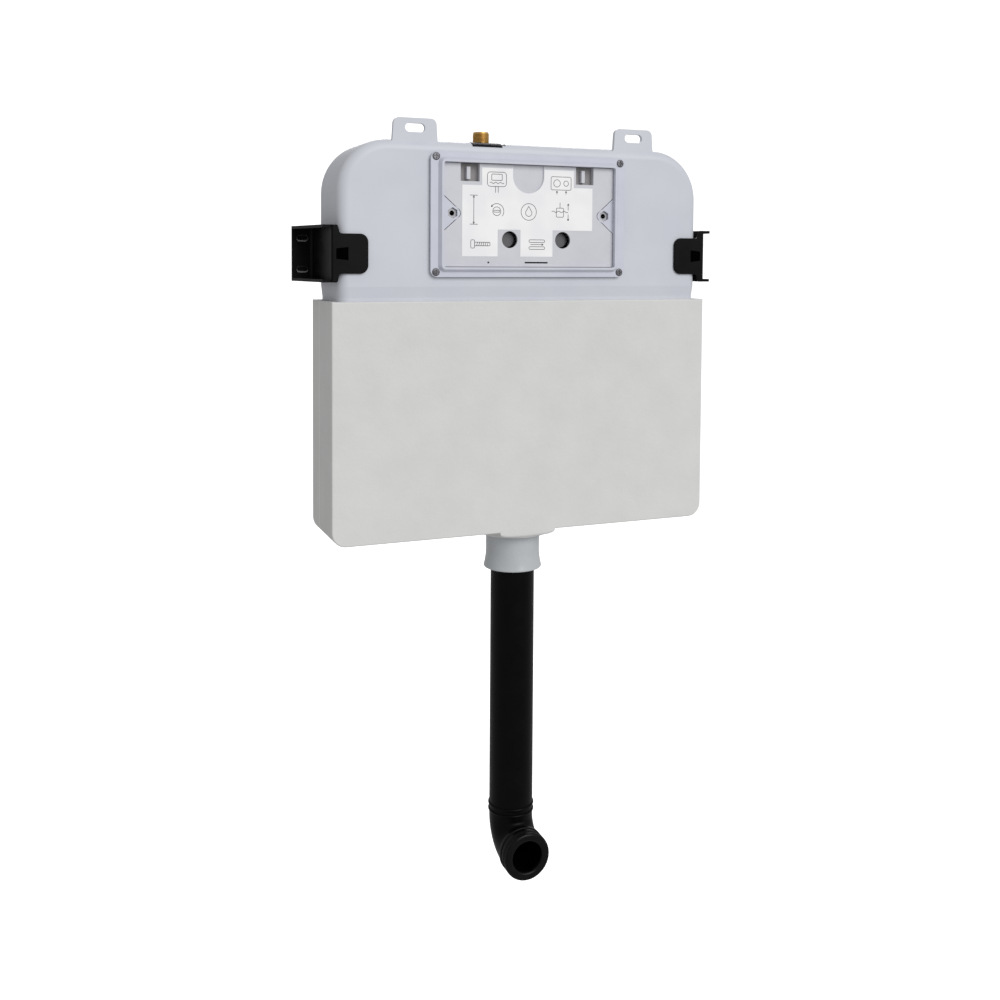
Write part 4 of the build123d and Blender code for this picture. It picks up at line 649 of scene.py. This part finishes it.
stub = lathe(
    [
        (INLET_BORE, branch_height),
        (INLET_BORE, valve_high[2]),
        (root_radius - STUB_CHAMFER, valve_high[2]),
        *wall(root_radius, thread_heights),
        (root_radius, block_high[2]),
        (stub_radius, block_high[2]),
        (stub_radius, gasket_low[2]),
        (shoulder_radius, gasket_low[2]),
        (shoulder_radius, shoulder_base),
        (BARREL_RADIUS, shoulder_base),
        (BARREL_RADIUS, valve_low[2]),
        (CORE_RADIUS, valve_low[2]),
        (CORE_RADIUS, branch_height),
    ],
    (inlet_x, inlet_y, 0),
    (0, 0, 1),
    swell=thread_ridge,
)
branch = lathe(
    [
        (INLET_BORE, branch_reach),
        (BRANCH_RADIUS, branch_reach),
        (BRANCH_RADIUS, BARREL_RADIUS / 2),
        (INLET_BORE, BARREL_RADIUS / 2),
    ],
    (inlet_x, inlet_y, branch_height),
    (-1, 0, 0),
)
bonnet = lathe(
    [
        (SPINDLE_BORE, bonnet_reach),
        *bend((BONNET_RADIUS - BONNET_ROUND, bonnet_reach - BONNET_ROUND), BONNET_ROUND, 90, 0),
        (BONNET_RADIUS, BARREL_RADIUS / 2),
        (SPINDLE_BORE, BARREL_RADIUS / 2),
    ],
    (inlet_x, inlet_y, branch_height),
    (0, -1, 0),
)
ride(
    mesh_object("inlet_valve", *joined([stub, branch, bonnet]), smooth_angle=50),
    "cistern",
    brass_finish,
    replaces="stop_valve_body",
)

# %% [markdown]
# ## The dark plate under the inlet
#
# The stub stands on a dark steel plate. A block of it sits in the tank's
# shallow pocket. It could be a box with a hole cut in it, but a turned form
# whose outer rings swell into a square has clean faces and needs no cutting.

# %% Inlet plate, the block
BLOCK_SQUARENESS = 10.0
HOLE_PLAY = 0.3

block_half = (block_high[0] - block_low[0]) / 2
hole_radius = stub_radius + HOLE_PLAY


def square_swell(turn, height, radius):
    """Makes outer rings square: radius / (|cos t|^p + |sin t|^p)^(1/p)."""
    power = BLOCK_SQUARENESS
    reach = (np.abs(np.cos(turn)) ** power + np.abs(np.sin(turn)) ** power) ** (-1 / power)
    return radius * (reach - 1) * (radius > hole_radius)


block = lathe(
    [
        (hole_radius, block_low[2]),
        (hole_radius, block_high[2]),
        (block_half, block_high[2]),
        (block_half, block_low[2]),
    ],
    (inlet_x, inlet_y, 0),
    (0, 0, 1),
    segments=192,
    swell=square_swell,
)
print(f"block of {2 * block_half:.1f} mm square round a hole of {2 * hole_radius:.1f} mm")

# %% [markdown]
# A thin sheet over the block runs forward and is bent down over the tank's
# rounded edge, where it shows as a dark strip. Two curves with a thickness
# between them could make it, but here one side line is drawn, a straight run
# and an arc about the centre of the tank's edge, out on top and back below.
# Carried along the width, it makes the strip. Rows drawn in to the line's
# middle, which lies inside the tank, close both sides.

# %% Inlet plate, the bent sheet
SHEET_THICKNESS = 0.45
SHEET_PLAY = 0.05
SHEET_WIDTH = 31.0
SHEET_LEFT_OF_STUB = 21.9
SHEET_BENT_BY = 55.0
SHEET_BEND_POINTS = 16
CLOSE_INSET = 0.02
TANK_TOP = -11.3
TANK_FRONT = -7.0
TANK_EDGE_ROUND = 10.0


def bent_sheet():
    """The side line (y, z), carried along x, with a closing row at each side."""
    start_y = inlet_y + block_half
    centre = (TANK_FRONT + TANK_EDGE_ROUND, TANK_TOP - TANK_EDGE_ROUND)
    lines = []
    for lift in (SHEET_PLAY, SHEET_PLAY + SHEET_THICKNESS):
        arc = bend(centre, TANK_EDGE_ROUND + lift, 90, 90 + SHEET_BENT_BY, SHEET_BEND_POINTS)
        lines.append(np.concatenate([[(start_y, TANK_TOP + lift)], arc]))
    side = np.concatenate([lines[1], lines[0][::-1]])
    # The row at each edge is doubled, so that strip and sides are shaded apart.
    shares = np.array([0, 1, 1, 1, 1, 0])
    across = np.array([CLOSE_INSET, 0, 0, SHEET_WIDTH, SHEET_WIDTH, SHEET_WIDTH - CLOSE_INSET])
    middle = side.mean(axis=0)
    rows = middle + shares[:, None, None] * (side - middle)
    x = np.broadcast_to(across[:, None] + inlet_x - SHEET_LEFT_OF_STUB, rows.shape[:2])
    points = np.concatenate([x[..., None], rows], axis=-1)
    return points.reshape(-1, 3) * MM, grid_faces(*x.shape, close_columns=True)


ride(
    mesh_object("inlet_plate_bent", *joined([block, bent_sheet()])),
    "cistern",
    plate_finish,
    replaces="inlet_plate",
)

# %% [markdown]
# ## The collar below the jacket
#
# The collar is straight above and flares out near its mouth like a trumpet.
# An arc could draw the flare, but it would meet the straight part with a
# visible change of bend. A power of the share of the flare's height starts
# without one. A small round ends the rim.

# %% Outlet collar
FLARE_HEIGHT = 17.0
FLARE_POWER = 1.7
FLARE_REACH = 2.3
RIM_ROUND = 1.3
MOUTH_RAISE = 2.4
TAIL_BORE = 22.3
SOCKET_BORE = 22.8
SHOULDER_BELOW_TOP = 30.5
GROOVE_PLAY = 0.2
FLARE_ROWS = 24

collar_low, collar_high = box_mm("outlet_collar")
ring_low, ring_high = box_mm("pipe_seal_ring")
collar_axis = (collar_low[:2] + collar_high[:2]) / 2
flare_radius = (collar_high[0] - collar_low[0]) / 2
neck_radius = flare_radius - FLARE_REACH
groove_radius = (ring_high[0] - ring_low[0]) / 2 + GROOVE_PLAY
groove_low = ring_low[2] - GROOVE_PLAY
groove_high = ring_high[2] + GROOVE_PLAY
shoulder_height = collar_high[2] - SHOULDER_BELOW_TOP
mouth_height = collar_low[2] + MOUTH_RAISE
flare_share = np.linspace(0, 1, FLARE_ROWS)
flare_radii = neck_radius + (flare_radius - neck_radius) * flare_share ** FLARE_POWER
flare_heights = mouth_height + FLARE_HEIGHT + flare_share * (RIM_ROUND - FLARE_HEIGHT)
outlet_collar = lathe(
    [
        (TAIL_BORE, collar_high[2]),
        (neck_radius, collar_high[2]),
        *wall(flare_radii, flare_heights),
        *bend((flare_radius - RIM_ROUND, mouth_height + RIM_ROUND), RIM_ROUND, -15, -90),
        (SOCKET_BORE, mouth_height),
        (SOCKET_BORE, groove_low),
        (groove_radius, groove_low),
        (groove_radius, groove_high),
        (SOCKET_BORE, groove_high),
        (SOCKET_BORE, shoulder_height),
        (TAIL_BORE, shoulder_height),
    ],
    (*collar_axis, 0),
    (0, 0, 1),
    segments=160,
)
ride(
    mesh_object("outlet_collar_flared", *outlet_collar),
    "cistern",
    collar_finish,
    replaces="outlet_collar",
)

# %% [markdown]
# ## The rubber end of the flush pipe
#
# The rubber end has a rounded lip, a ribbed band, a slim waist and a ring at
# its back. Ribs could be a bump in the finish, but these are deep enough to
# show in the outline, so they are real: a cosine along the band. Round the band
# the rubber rises and sinks a little, as it does when it is stretched.

# %% Rubber end
LIP_ROUND = 2.6
MOUTH_RADIUS = 15.6
RIB_DEPTH = 0.45
RIB_COUNT = 3
LOBE_COUNT = 40
LOBE_RISE = 0.12
WAIST_DEPTH = 0.9
BACK_RING = 4.5
BACK_RING_ROUND = 0.8
SOCKET_OVERLAP = 1.1
STOP_PLAY = 0.3
BAND_ROWS = 48
# A wall that starts or ends this far from a bend keeps the edge between crisp.
BAND_EDGE = 0.1
WAIST_EDGE = 0.2
RING_EDGE = 0.4

outlet_place, outlet_sizes = mount_mm("flush_outlet")
seal_low, seal_high = box_mm("pipe_end_seal")
pipe_low, pipe_high = box_mm("flush_pipe")
seal_length = seal_high[1] - seal_low[1]
seal_radius = outlet_sizes["r_mm"]
band_high = seal_length - LIP_ROUND
band_low = band_high - outlet_sizes["length_mm"]
waist_radius = seal_radius - WAIST_DEPTH
socket_radius = (pipe_high[0] - pipe_low[0]) / 2 - SOCKET_OVERLAP
pipe_stop = seal_high[1] - pipe_low[1] - STOP_PLAY


def rubber_ribs(turn, height, radius):
    """Ribs (cos along the band) and lobes (cos round it) on the front band."""
    along = np.clip((height - band_low) / (band_high - band_low), 0, 1)
    ribs = -RIB_DEPTH * (1 - np.cos(TAU * RIB_COUNT * along)) / 2
    lobes = LOBE_RISE * np.cos(LOBE_COUNT * turn) * np.sin(math.pi * along)
    return (ribs + lobes) * (height > band_low)


outside = [
    (MOUTH_RADIUS + LIP_ROUND, seal_length),
    *bend((seal_radius - LIP_ROUND, band_high), LIP_ROUND, 90, 0, 8),
    *wall(seal_radius, np.linspace(band_high - BAND_EDGE, band_low, BAND_ROWS)),
    (waist_radius, band_low - WAIST_EDGE),
    (waist_radius, BACK_RING + RING_EDGE),
    *bend((seal_radius - BACK_RING_ROUND, BACK_RING - BACK_RING_ROUND), BACK_RING_ROUND, 90, 0),
    *bend((seal_radius - BACK_RING_ROUND, BACK_RING_ROUND), BACK_RING_ROUND, 0, -90),
]
inside = [
    (socket_radius, 0.0),
    (socket_radius, pipe_stop),
    (MOUTH_RADIUS, pipe_stop),
    *bend((MOUTH_RADIUS + LIP_ROUND, band_high), LIP_ROUND, 180, 95, 8),
]
rubber_end = lathe(
    outside + inside,
    (outlet_place[0], seal_high[1], outlet_place[2]),
    (0, -1, 0),
    segments=320,
    swell=rubber_ribs,
)
ride(
    mesh_object("pipe_end_rubber", *rubber_end, smooth_angle=50),
    "cistern",
    rubber_finish,
    replaces="pipe_end_seal",
)

# %% [markdown]
# ## Closed slots in the wall brackets
#
# The screw slots of the brackets are moulded shut with a thin skin that a
# screw breaks through, so they look dark against the white room. A skin could
# be a stretched cylinder, but then its round ends would be ovals. So it is a
# slab: an outline of two half circles, drawn at two depths and closed. The
# floors of the pockets further down are slabs too.

# %% Skins in the bracket slots
FOOT_THICKNESS = 2.8
SKIN_SET_BACK = 1.1
SKIN_THICKNESS = 0.5

bracket_low, bracket_high = box_mm("bracket_right")
foot_front = bracket_high[1] - FOOT_THICKNESS


def slab(outline, front, thickness):
    """A flat body: the outline's (x, z) at depth front and front + thickness.

    At each end a ring all of whose points are the outline's middle closes the
    face, and welding makes it a pole.
    """
    middle = np.broadcast_to(outline.mean(axis=0), outline.shape)
    rings = np.stack([middle, outline, outline, middle])
    depths = np.array([front, front, front + thickness, front + thickness])[:, None]
    points = np.stack(np.broadcast_arrays(rings[..., 0], depths, rings[..., 1]), axis=-1)
    return points.reshape(-1, 3) * MM, grid_faces(*rings.shape[:2], close_columns=True)


def slot_outline(length, radius, steps=20):
    """A slot: half circles of this radius about (-+(length / 2 - radius), 0)."""
    centre = length / 2 - radius
    right = bend((centre, 0), radius, -90, 90, steps)
    left = bend((-centre, 0), radius, 90, 270, steps)
    return np.concatenate([right, left])


outer_place, outer_sizes = mount_mm("bracket_slots_outer")
middle_place, middle_sizes = mount_mm("bracket_slots_middle")
slot = slot_outline(outer_sizes["slot_length_mm"], outer_sizes["hole_r_mm"])
middle_slot = slot_outline(middle_sizes["slot_length_mm"], middle_sizes["hole_r_mm"])
outer_slots = [
    slot + (side * outer_sizes["spacing_x_mm"] / 2, outer_place[2] + level * outer_sizes["spacing_y_mm"] / 2)
    for side in (-1, 1)
    for level in (-1, 1)
]
middle_slots = [middle_slot + (side * middle_sizes["spacing_x_mm"] / 2, middle_place[2]) for side in (-1, 1)]
skins = [slab(outline, foot_front + SKIN_SET_BACK, SKIN_THICKNESS) for outline in outer_slots + middle_slots]
ride(
    mesh_object("bracket_slot_skins", *joined(skins), weld=True),
    "cistern",
    bracket_finish,
)

# %% [markdown]
# The lower lips of the outer slots catch the light, so each gets a pale grey
# bead: a painted glint. A lip is a ring of a round section that follows the
# slot's edge. Its radius swells with how far the edge's normal points down, so
# it is fullest on the lower lip and almost nothing on the upper one. A plain
# ring would light up all round.

# %% Lips of the bracket slots
LIP_BEAD = 0.8
LIP_LEAST = 0.06
LIP_SHARPNESS = 1.5
LIP_POINTS = 10


def slot_lip(outline):
    """A bead on the edge: radius * cos s outwards and radius * sin s forwards."""
    along = np.roll(outline, -1, axis=0) - np.roll(outline, 1, axis=0)
    outwards = np.stack([along[:, 1], -along[:, 0]], axis=-1) / np.linalg.norm(along, axis=1, keepdims=True)
    down = np.clip(-outwards[:, 1], 0, 1) ** LIP_SHARPNESS
    radius = LIP_BEAD * (LIP_LEAST + (1 - LIP_LEAST) * down)
    s = np.linspace(0, TAU, LIP_POINTS, endpoint=False)[:, None]
    rim = outline + (radius * np.cos(s))[..., None] * outwards
    points = np.stack([rim[..., 0], foot_front - radius * np.sin(s), rim[..., 1]], axis=-1)
    return points.reshape(-1, 3) * MM, grid_faces(*rim.shape[:2], close_rows=True, close_columns=True)


lips = [slot_lip(outline) for outline in outer_slots]
ride(mesh_object("bracket_slot_painted_glints", *joined(lips)), "cistern", slot_glint_paint)

# %% [markdown]
# ## Painted shade in the pockets of the bracket tongues
#
# The tapered pocket in each tongue reads as deep black, as it lies in shade.
# A darker colour for the whole bracket would lose the pocket, so only its
# floor gets a thin slab of the pocket's own outline, in a black that reflects
# almost nothing: painted shade.

# %% Tongue pocket floors
POCKET_INNER_X = 184.0
POCKET_OUTER_X = 195.6
POCKET_INNER_HALF = 6.1
POCKET_OUTER_HALF = 4.7
POCKET_DEPTH = 2.0
POCKET_SLAB = 0.2

pocket_z = (bracket_low[2] + bracket_high[2]) / 2
pocket_front = bracket_low[1] + POCKET_DEPTH - POCKET_SLAB
right_pocket = np.array(
    [
        (POCKET_INNER_X, pocket_z - POCKET_INNER_HALF),
        (POCKET_OUTER_X, pocket_z - POCKET_OUTER_HALF),
        (POCKET_OUTER_X, pocket_z + POCKET_OUTER_HALF),
        (POCKET_INNER_X, pocket_z + POCKET_INNER_HALF),
    ]
)
# Mirroring turns an outline round, so the left one is read backwards.
left_pocket = right_pocket[::-1] * (-1, 1)
pockets = [slab(outline, pocket_front, POCKET_SLAB) for outline in (left_pocket, right_pocket)]
ride(
    mesh_object("tongue_pocket_painted_shade", *joined(pockets), weld=True),
    "cistern",
    pocket_shade_paint,
)

# %% [markdown]
# ## Painted shade on the latch pockets' floors
#
# Behind each latch tongue the pocket's floor is painted a darker grey than
# the cover: painted shade, where the deep pocket lies in shade. The cover's
# solid has one finish all over, so each floor is a thin rectangular slab in
# front of it, which rides on the cover.

# %% Latch pocket floors
LATCH_X = 61.5
LATCH_WIDTH = 19.6
LATCH_HEIGHT = 18.5
POCKET_WALL = 1.2
FLOOR_SLAB = 0.15

cover_low, cover_high = box_mm("cover_plate")
cover_middle = (cover_low[0] + cover_high[0]) / 2
latch_z = cover_high[2] - LATCH_HEIGHT / 2
floor_front = cover_high[1] - POCKET_WALL - FLOOR_SLAB
latch = np.array([(-1, -1), (1, -1), (1, 1), (-1, 1)]) / 2 * (LATCH_WIDTH, LATCH_HEIGHT)
latches = [latch + (cover_middle + side * LATCH_X, latch_z) for side in (-1, 1)]
floors = [slab(outline, floor_front, FLOOR_SLAB) for outline in latches]
ride(
    mesh_object("latch_pocket_painted_shade", *joined(floors), weld=True),
    "cover",
    latch_shade_paint,
)

# %% [markdown]
# ## The apron in front of the outlet boss
#
# Over the middle of the round boss the jacket's front face runs on downwards
# and then rounds back to the boss. A bevel between the two would leave a
# crease, so the apron is a tube of its own that lies flush with the face. At
# turn t round the boss its section has a front, a quarter circle, an underside
# and a back. Its height shrinks to almost nothing at both ends, which stay
# open.

# %% Boss apron
BOSS_RADIUS = 38.0
BOSS_OVERLAP = 1.0
BOSS_DROP = 7.7
APRON_RISE = 5.0
APRON_GAP = 1.2
APRON_ROUND = 3.6
APRON_TURN = 52.0
APRON_LIFT = 0.1
APRON_FULLNESS = 0.3
APRON_LEAST = 0.02
APRON_SECTIONS = 61
APRON_ARC_POINTS = 9

jacket_low = box_mm("jacket_front")[0]
jacket_bottom = jacket_low[2] + BOSS_DROP


def apron_rings(turn):
    """Rings of the apron, of a height that falls as (cos t)^fullness.

    The quarter circle at angle a lies radius * (1 - cos a) behind the front
    and radius * (1 - sin a) above the underside.
    """
    share = np.cos(turn * 90 / APRON_TURN).clip(0, 1) ** APRON_FULLNESS
    taper = share * (1 - APRON_LEAST) + APRON_LEAST
    top = jacket_bottom + APRON_RISE * taper
    bottom = jacket_bottom - (BOSS_DROP - APRON_GAP) * taper
    front = np.full_like(turn, jacket_low[1] - APRON_LIFT)
    back = collar_axis[1] - (BOSS_RADIUS - BOSS_OVERLAP) * np.cos(turn)
    arc = np.radians(np.linspace(0, 90, APRON_ARC_POINTS))
    arc_depth = front + APRON_ROUND * taper * (1 - np.cos(arc))
    arc_height = bottom + APRON_ROUND * taper * (1 - np.sin(arc))
    depth = np.hstack([front, front, arc_depth, back, back])
    height = np.hstack([top, (top + bottom) / 2, arc_height, bottom, top])
    across = np.broadcast_to(collar_axis[0] + BOSS_RADIUS * np.sin(turn), depth.shape)
    return np.stack([across, depth, height], axis=-1)


apron_turns = np.radians(np.linspace(-APRON_TURN, APRON_TURN, APRON_SECTIONS))[:, None]
apron_points = apron_rings(apron_turns)
apron_faces = grid_faces(*apron_points.shape[:2], close_columns=True)
apron = mesh_object("outlet_boss_apron", apron_points.reshape(-1, 3) * MM, apron_faces)
ride(apron, "cistern", jacket_finish)

# %% [markdown]
# ## Drawings on the label
#
# The label carries small line drawings without words. They could be curves
# with a bevel, but printing has no height to speak of. So a drawing is a list
# of pen strokes, each a row of points in millimetres, and a stroke becomes a
# thin ribbon of ink: every point moved half a line's width to either side.

# %% Pen strokes
INK_WIDTH = 0.55
INK_LIFT = 0.03

label_low, label_high = box_mm("instruction_label")
ink_y = label_low[1] - INK_LIFT


def ribbon(stroke, width=INK_WIDTH):
    """Points p +- width / 2 * n, with n at right angles to the stroke."""
    stroke = np.asarray(stroke, float)
    ahead = np.gradient(stroke, axis=0)
    ahead /= np.linalg.norm(ahead, axis=1, keepdims=True)
    across = np.stack([-ahead[:, 1], ahead[:, 0]], axis=1) * width / 2
    sides = np.stack([stroke + across, stroke - across], axis=1)
    points = np.stack([sides[..., 0], np.full(sides.shape[:2], ink_y), sides[..., 1]], axis=-1)
    return points.reshape(-1, 3) * MM, grid_faces(len(stroke), 2)


def circle(x, z, radius, start=0, end=360, steps=33):
    """A stroke round (x, z)."""
    return bend((x, z), radius, start, end, steps)


def panel(x, z, width, height, corner=1.0):
    """A stroke round a rectangle with rounded corners."""
    half_x, half_z = width / 2 - corner, height / 2 - corner
    turns = ((1, 1, 0), (-1, 1, 90), (-1, -1, 180), (1, -1, 270))
    corners = [bend((x + i * half_x, z + j * half_z), corner, a, a + 90, 4) for i, j, a in turns]
    return np.concatenate(corners + [corners[0][:1]])


def arrow(x0, z0, x1, z1, head=1.8):
    """A straight stroke and the two strokes of its head."""
    start, tip = np.array([x0, z0], float), np.array([x1, z1], float)
    back = (start - tip) / np.linalg.norm(start - tip) * head
    aside = np.array([-back[1], back[0]]) * 0.5
    return [np.stack([start, tip]), np.stack([tip + back + aside, tip]), np.stack([tip + back - aside, tip])]


def water(x, z, width, rise=0.7):
    """A level water line: rise * sin over three waves."""
    share = np.linspace(0, 1, 25)
    return np.stack([x + width * (share - 0.5), z + rise * np.sin(3 * TAU * share)], axis=1)


print(f"ink lies {INK_LIFT} mm in front of the label, in lines of {INK_WIDTH} mm")

# %% [markdown]
# Eight small drawings are set out in the label's free fields: the cistern on
# its pipe, a valve that is turned shut, a push plate, a float on the water, a
# drop, a height, a screw and two push rods. The numbers in them are
# millimetres from each drawing's middle.


# %% Eight drawings
def draw_cistern(x, z):
    """A cistern with its window, and the pipe below it."""
    pipe = [[(x - 1.4, z - 5), (x - 1.4, z - 11)], [(x + 1.4, z - 5), (x + 1.4, z - 11)]]
    return [panel(x, z + 2, 20, 14, 3), panel(x, z + 4, 11, 6, 0.6), water(x, z - 1.5, 15), *pipe]


def draw_valve(x, z):
    """A round knob, its grip and an arrow round it."""
    knob = [circle(x, z, 4.2), panel(x, z, 6.4, 1.8, 0.7)]
    return [*knob, circle(x, z, 7.4, -40, 130), *arrow(x - 4.2, z + 6.2, x - 5.8, z + 4.2)]


def draw_plate(x, z):
    """A push plate with two buttons and arrows onto it."""
    plate = [panel(x, z, 22, 13, 1.5), circle(x - 4.5, z, 3.6), circle(x + 5.5, z, 2.6)]
    return [*plate, *arrow(x - 4.5, z - 11, x - 4.5, z - 7.4), *arrow(x + 5.5, z - 11, x + 5.5, z - 7.4)]


def draw_float(x, z):
    """A float on the water, with an arrow up and an arrow down."""
    afloat = [panel(x - 2, z, 8, 9, 1.2), water(x - 2, z + 0.8, 18), [(x - 2, z + 4.5), (x - 2, z + 10)]]
    return [*afloat, *arrow(x + 7, z + 2.5, x + 7, z + 9), *arrow(x + 7, z - 1.5, x + 7, z - 8)]


def draw_drop(x, z):
    """A drop in a ring: an arc below, with two sides that meet in a tip."""
    drop = np.concatenate([[(x, z + 5.5)], bend((x, z - 1), 3.4, 150, 390, 20), [(x, z + 5.5)]])
    return [circle(x, z, 8.2, steps=49), drop]


def draw_height(x, z):
    """A height between two level lines."""
    ends = [[(x - 4, z + 14), (x + 4, z + 14)], [(x - 4, z - 14), (x + 4, z - 14)]]
    return [*ends, *arrow(x, z, x, z + 13.5), *arrow(x, z, x, z - 13.5)]


def draw_screw(x, z):
    """A screw from the side: head, shank and slanted thread lines."""
    threads = [[(x - 3 + 2.2 * i, z - 1.9), (x - 1.8 + 2.2 * i, z + 1.9)] for i in range(6)]
    return [panel(x - 7, z, 4, 8, 1.2), panel(x + 3, z, 16, 3.4, 0.5), *threads]


def draw_rods(x, z):
    """Two push rods and the arrow along them."""
    rods = [panel(x, z + level, 17, 2.6, 1.2) for level in (3.4, -3.4)]
    return [*rods, *arrow(x - 7, z, x + 7, z)]


left, bottom = label_low[0], label_low[2]
top = label_high[2]
drawings = [
    draw_cistern(left + 36, top - 13),
    draw_valve(left + 36, top - 42),
    draw_plate(left + 105, top - 13),
    draw_float(left + 106, top - 42),
    draw_drop(left + 70, top - 42),
    draw_height(left + 12, top - 41),
    draw_screw(left + 18, bottom + 12),
    draw_rods(left + 79, bottom + 12),
]
strokes = [ribbon(stroke) for drawing in drawings for stroke in drawing]
ride(mesh_object("label_drawings", *joined(strokes)), "cover", ink_finish)

# %% [markdown]
# ## The studio
#
# The object hangs free in a white room, with no shadow below it. A wide bowl
# is floor and wall in one, so no horizon shows. It is only a backdrop: the
# camera sees it, but it neither lights nor shades the object. Its finish glows
# a little, or its far side would turn grey.

# %% Studio bowl
FLOOR_BELOW = 320.0
BOWL_FLAT = 3500.0
BOWL_ROUND = 1500.0
BOWL_HEIGHT = 3600.0
BOWL_CLOUD = 900.0
# On the axis itself the first faces would have two corners in one place.
BOWL_START = 1.0
WHITE = (1.0, 1.0, 1.0, 1.0)

studio_finish = finish(
    "studio_white",
    ("#FAFAFA", "#FFFFFF"),
    lumps(BOWL_CLOUD),
    0.9,
    shader_inputs={SPECULAR: 0.0, "Emission Color": WHITE, "Emission Strength": 0.45},
)
floor_height = float(seal_low[2]) - FLOOR_BELOW
bowl_profile = [
    (BOWL_START, 0.0),
    *bend((BOWL_FLAT, BOWL_ROUND), BOWL_ROUND, -90, 0, 24),
    (BOWL_FLAT + BOWL_ROUND, BOWL_HEIGHT),
]
bowl = lathe(bowl_profile, (0, 0, floor_height), (0, 0, 1), segments=72, closed=False)
studio = mesh_object("studio_bowl", *bowl)
studio.data.materials.append(studio_finish)
studio.visible_diffuse = False
studio.visible_glossy = False
studio.visible_shadow = False
print(f"the bowl's floor lies {FLOOR_BELOW:.0f} mm below the object")

# %% [markdown]
# A wide sun from the right front makes the front faces pale and lets the left
# side fall off, and a weak area light from behind edges the top. A panorama of
# a studio could light the object too, but plain lights are easy to read and to
# change.


# %% Studio lights
def hang(data, place_mm, towards):
    """Adds a light at a place, whose beam runs against the vector towards."""
    light = bpy.data.objects.new(data.name, data)
    turned = towards.to_track_quat("Z", "Y").to_matrix().to_4x4()
    light.matrix_world = Matrix.Translation(Vector(place_mm) * MM) @ turned
    bpy.context.scene.collection.objects.link(light)
    print(f"{data.name}: strength {data.energy}")


SUN_ACROSS = math.radians(17)
SUN_UP = math.radians(27)
SUN_SOFTNESS = math.radians(38)
SUN_STRENGTH = 1.55
BACK_PLACE = (900, 2300, 1300)
BACK_TARGET = (0, 0, -250)
BACK_SIZE = 1500
BACK_WATTS = 30
ROOM_STRENGTH = 0.44

key_sun = bpy.data.lights.new("key_sun", "SUN")
key_sun.angle = SUN_SOFTNESS
key_sun.energy = SUN_STRENGTH
flat = math.cos(SUN_UP)
to_sun = Vector((math.sin(SUN_ACROSS) * flat, -math.cos(SUN_ACROSS) * flat, math.sin(SUN_UP)))
hang(key_sun, (0, 0, 0), to_sun)

back_light = bpy.data.lights.new("back_light", "AREA")
back_light.shape = "SQUARE"
back_light.size = BACK_SIZE * MM
back_light.energy = BACK_WATTS
hang(back_light, BACK_PLACE, Vector(BACK_PLACE) - Vector(BACK_TARGET))

room = bpy.data.worlds.new("studio_world")
room.use_nodes = True
room.node_tree.nodes["Background"].inputs["Color"].default_value = WHITE
room.node_tree.nodes["Background"].inputs["Strength"].default_value = ROOM_STRENGTH
bpy.context.scene.world = room
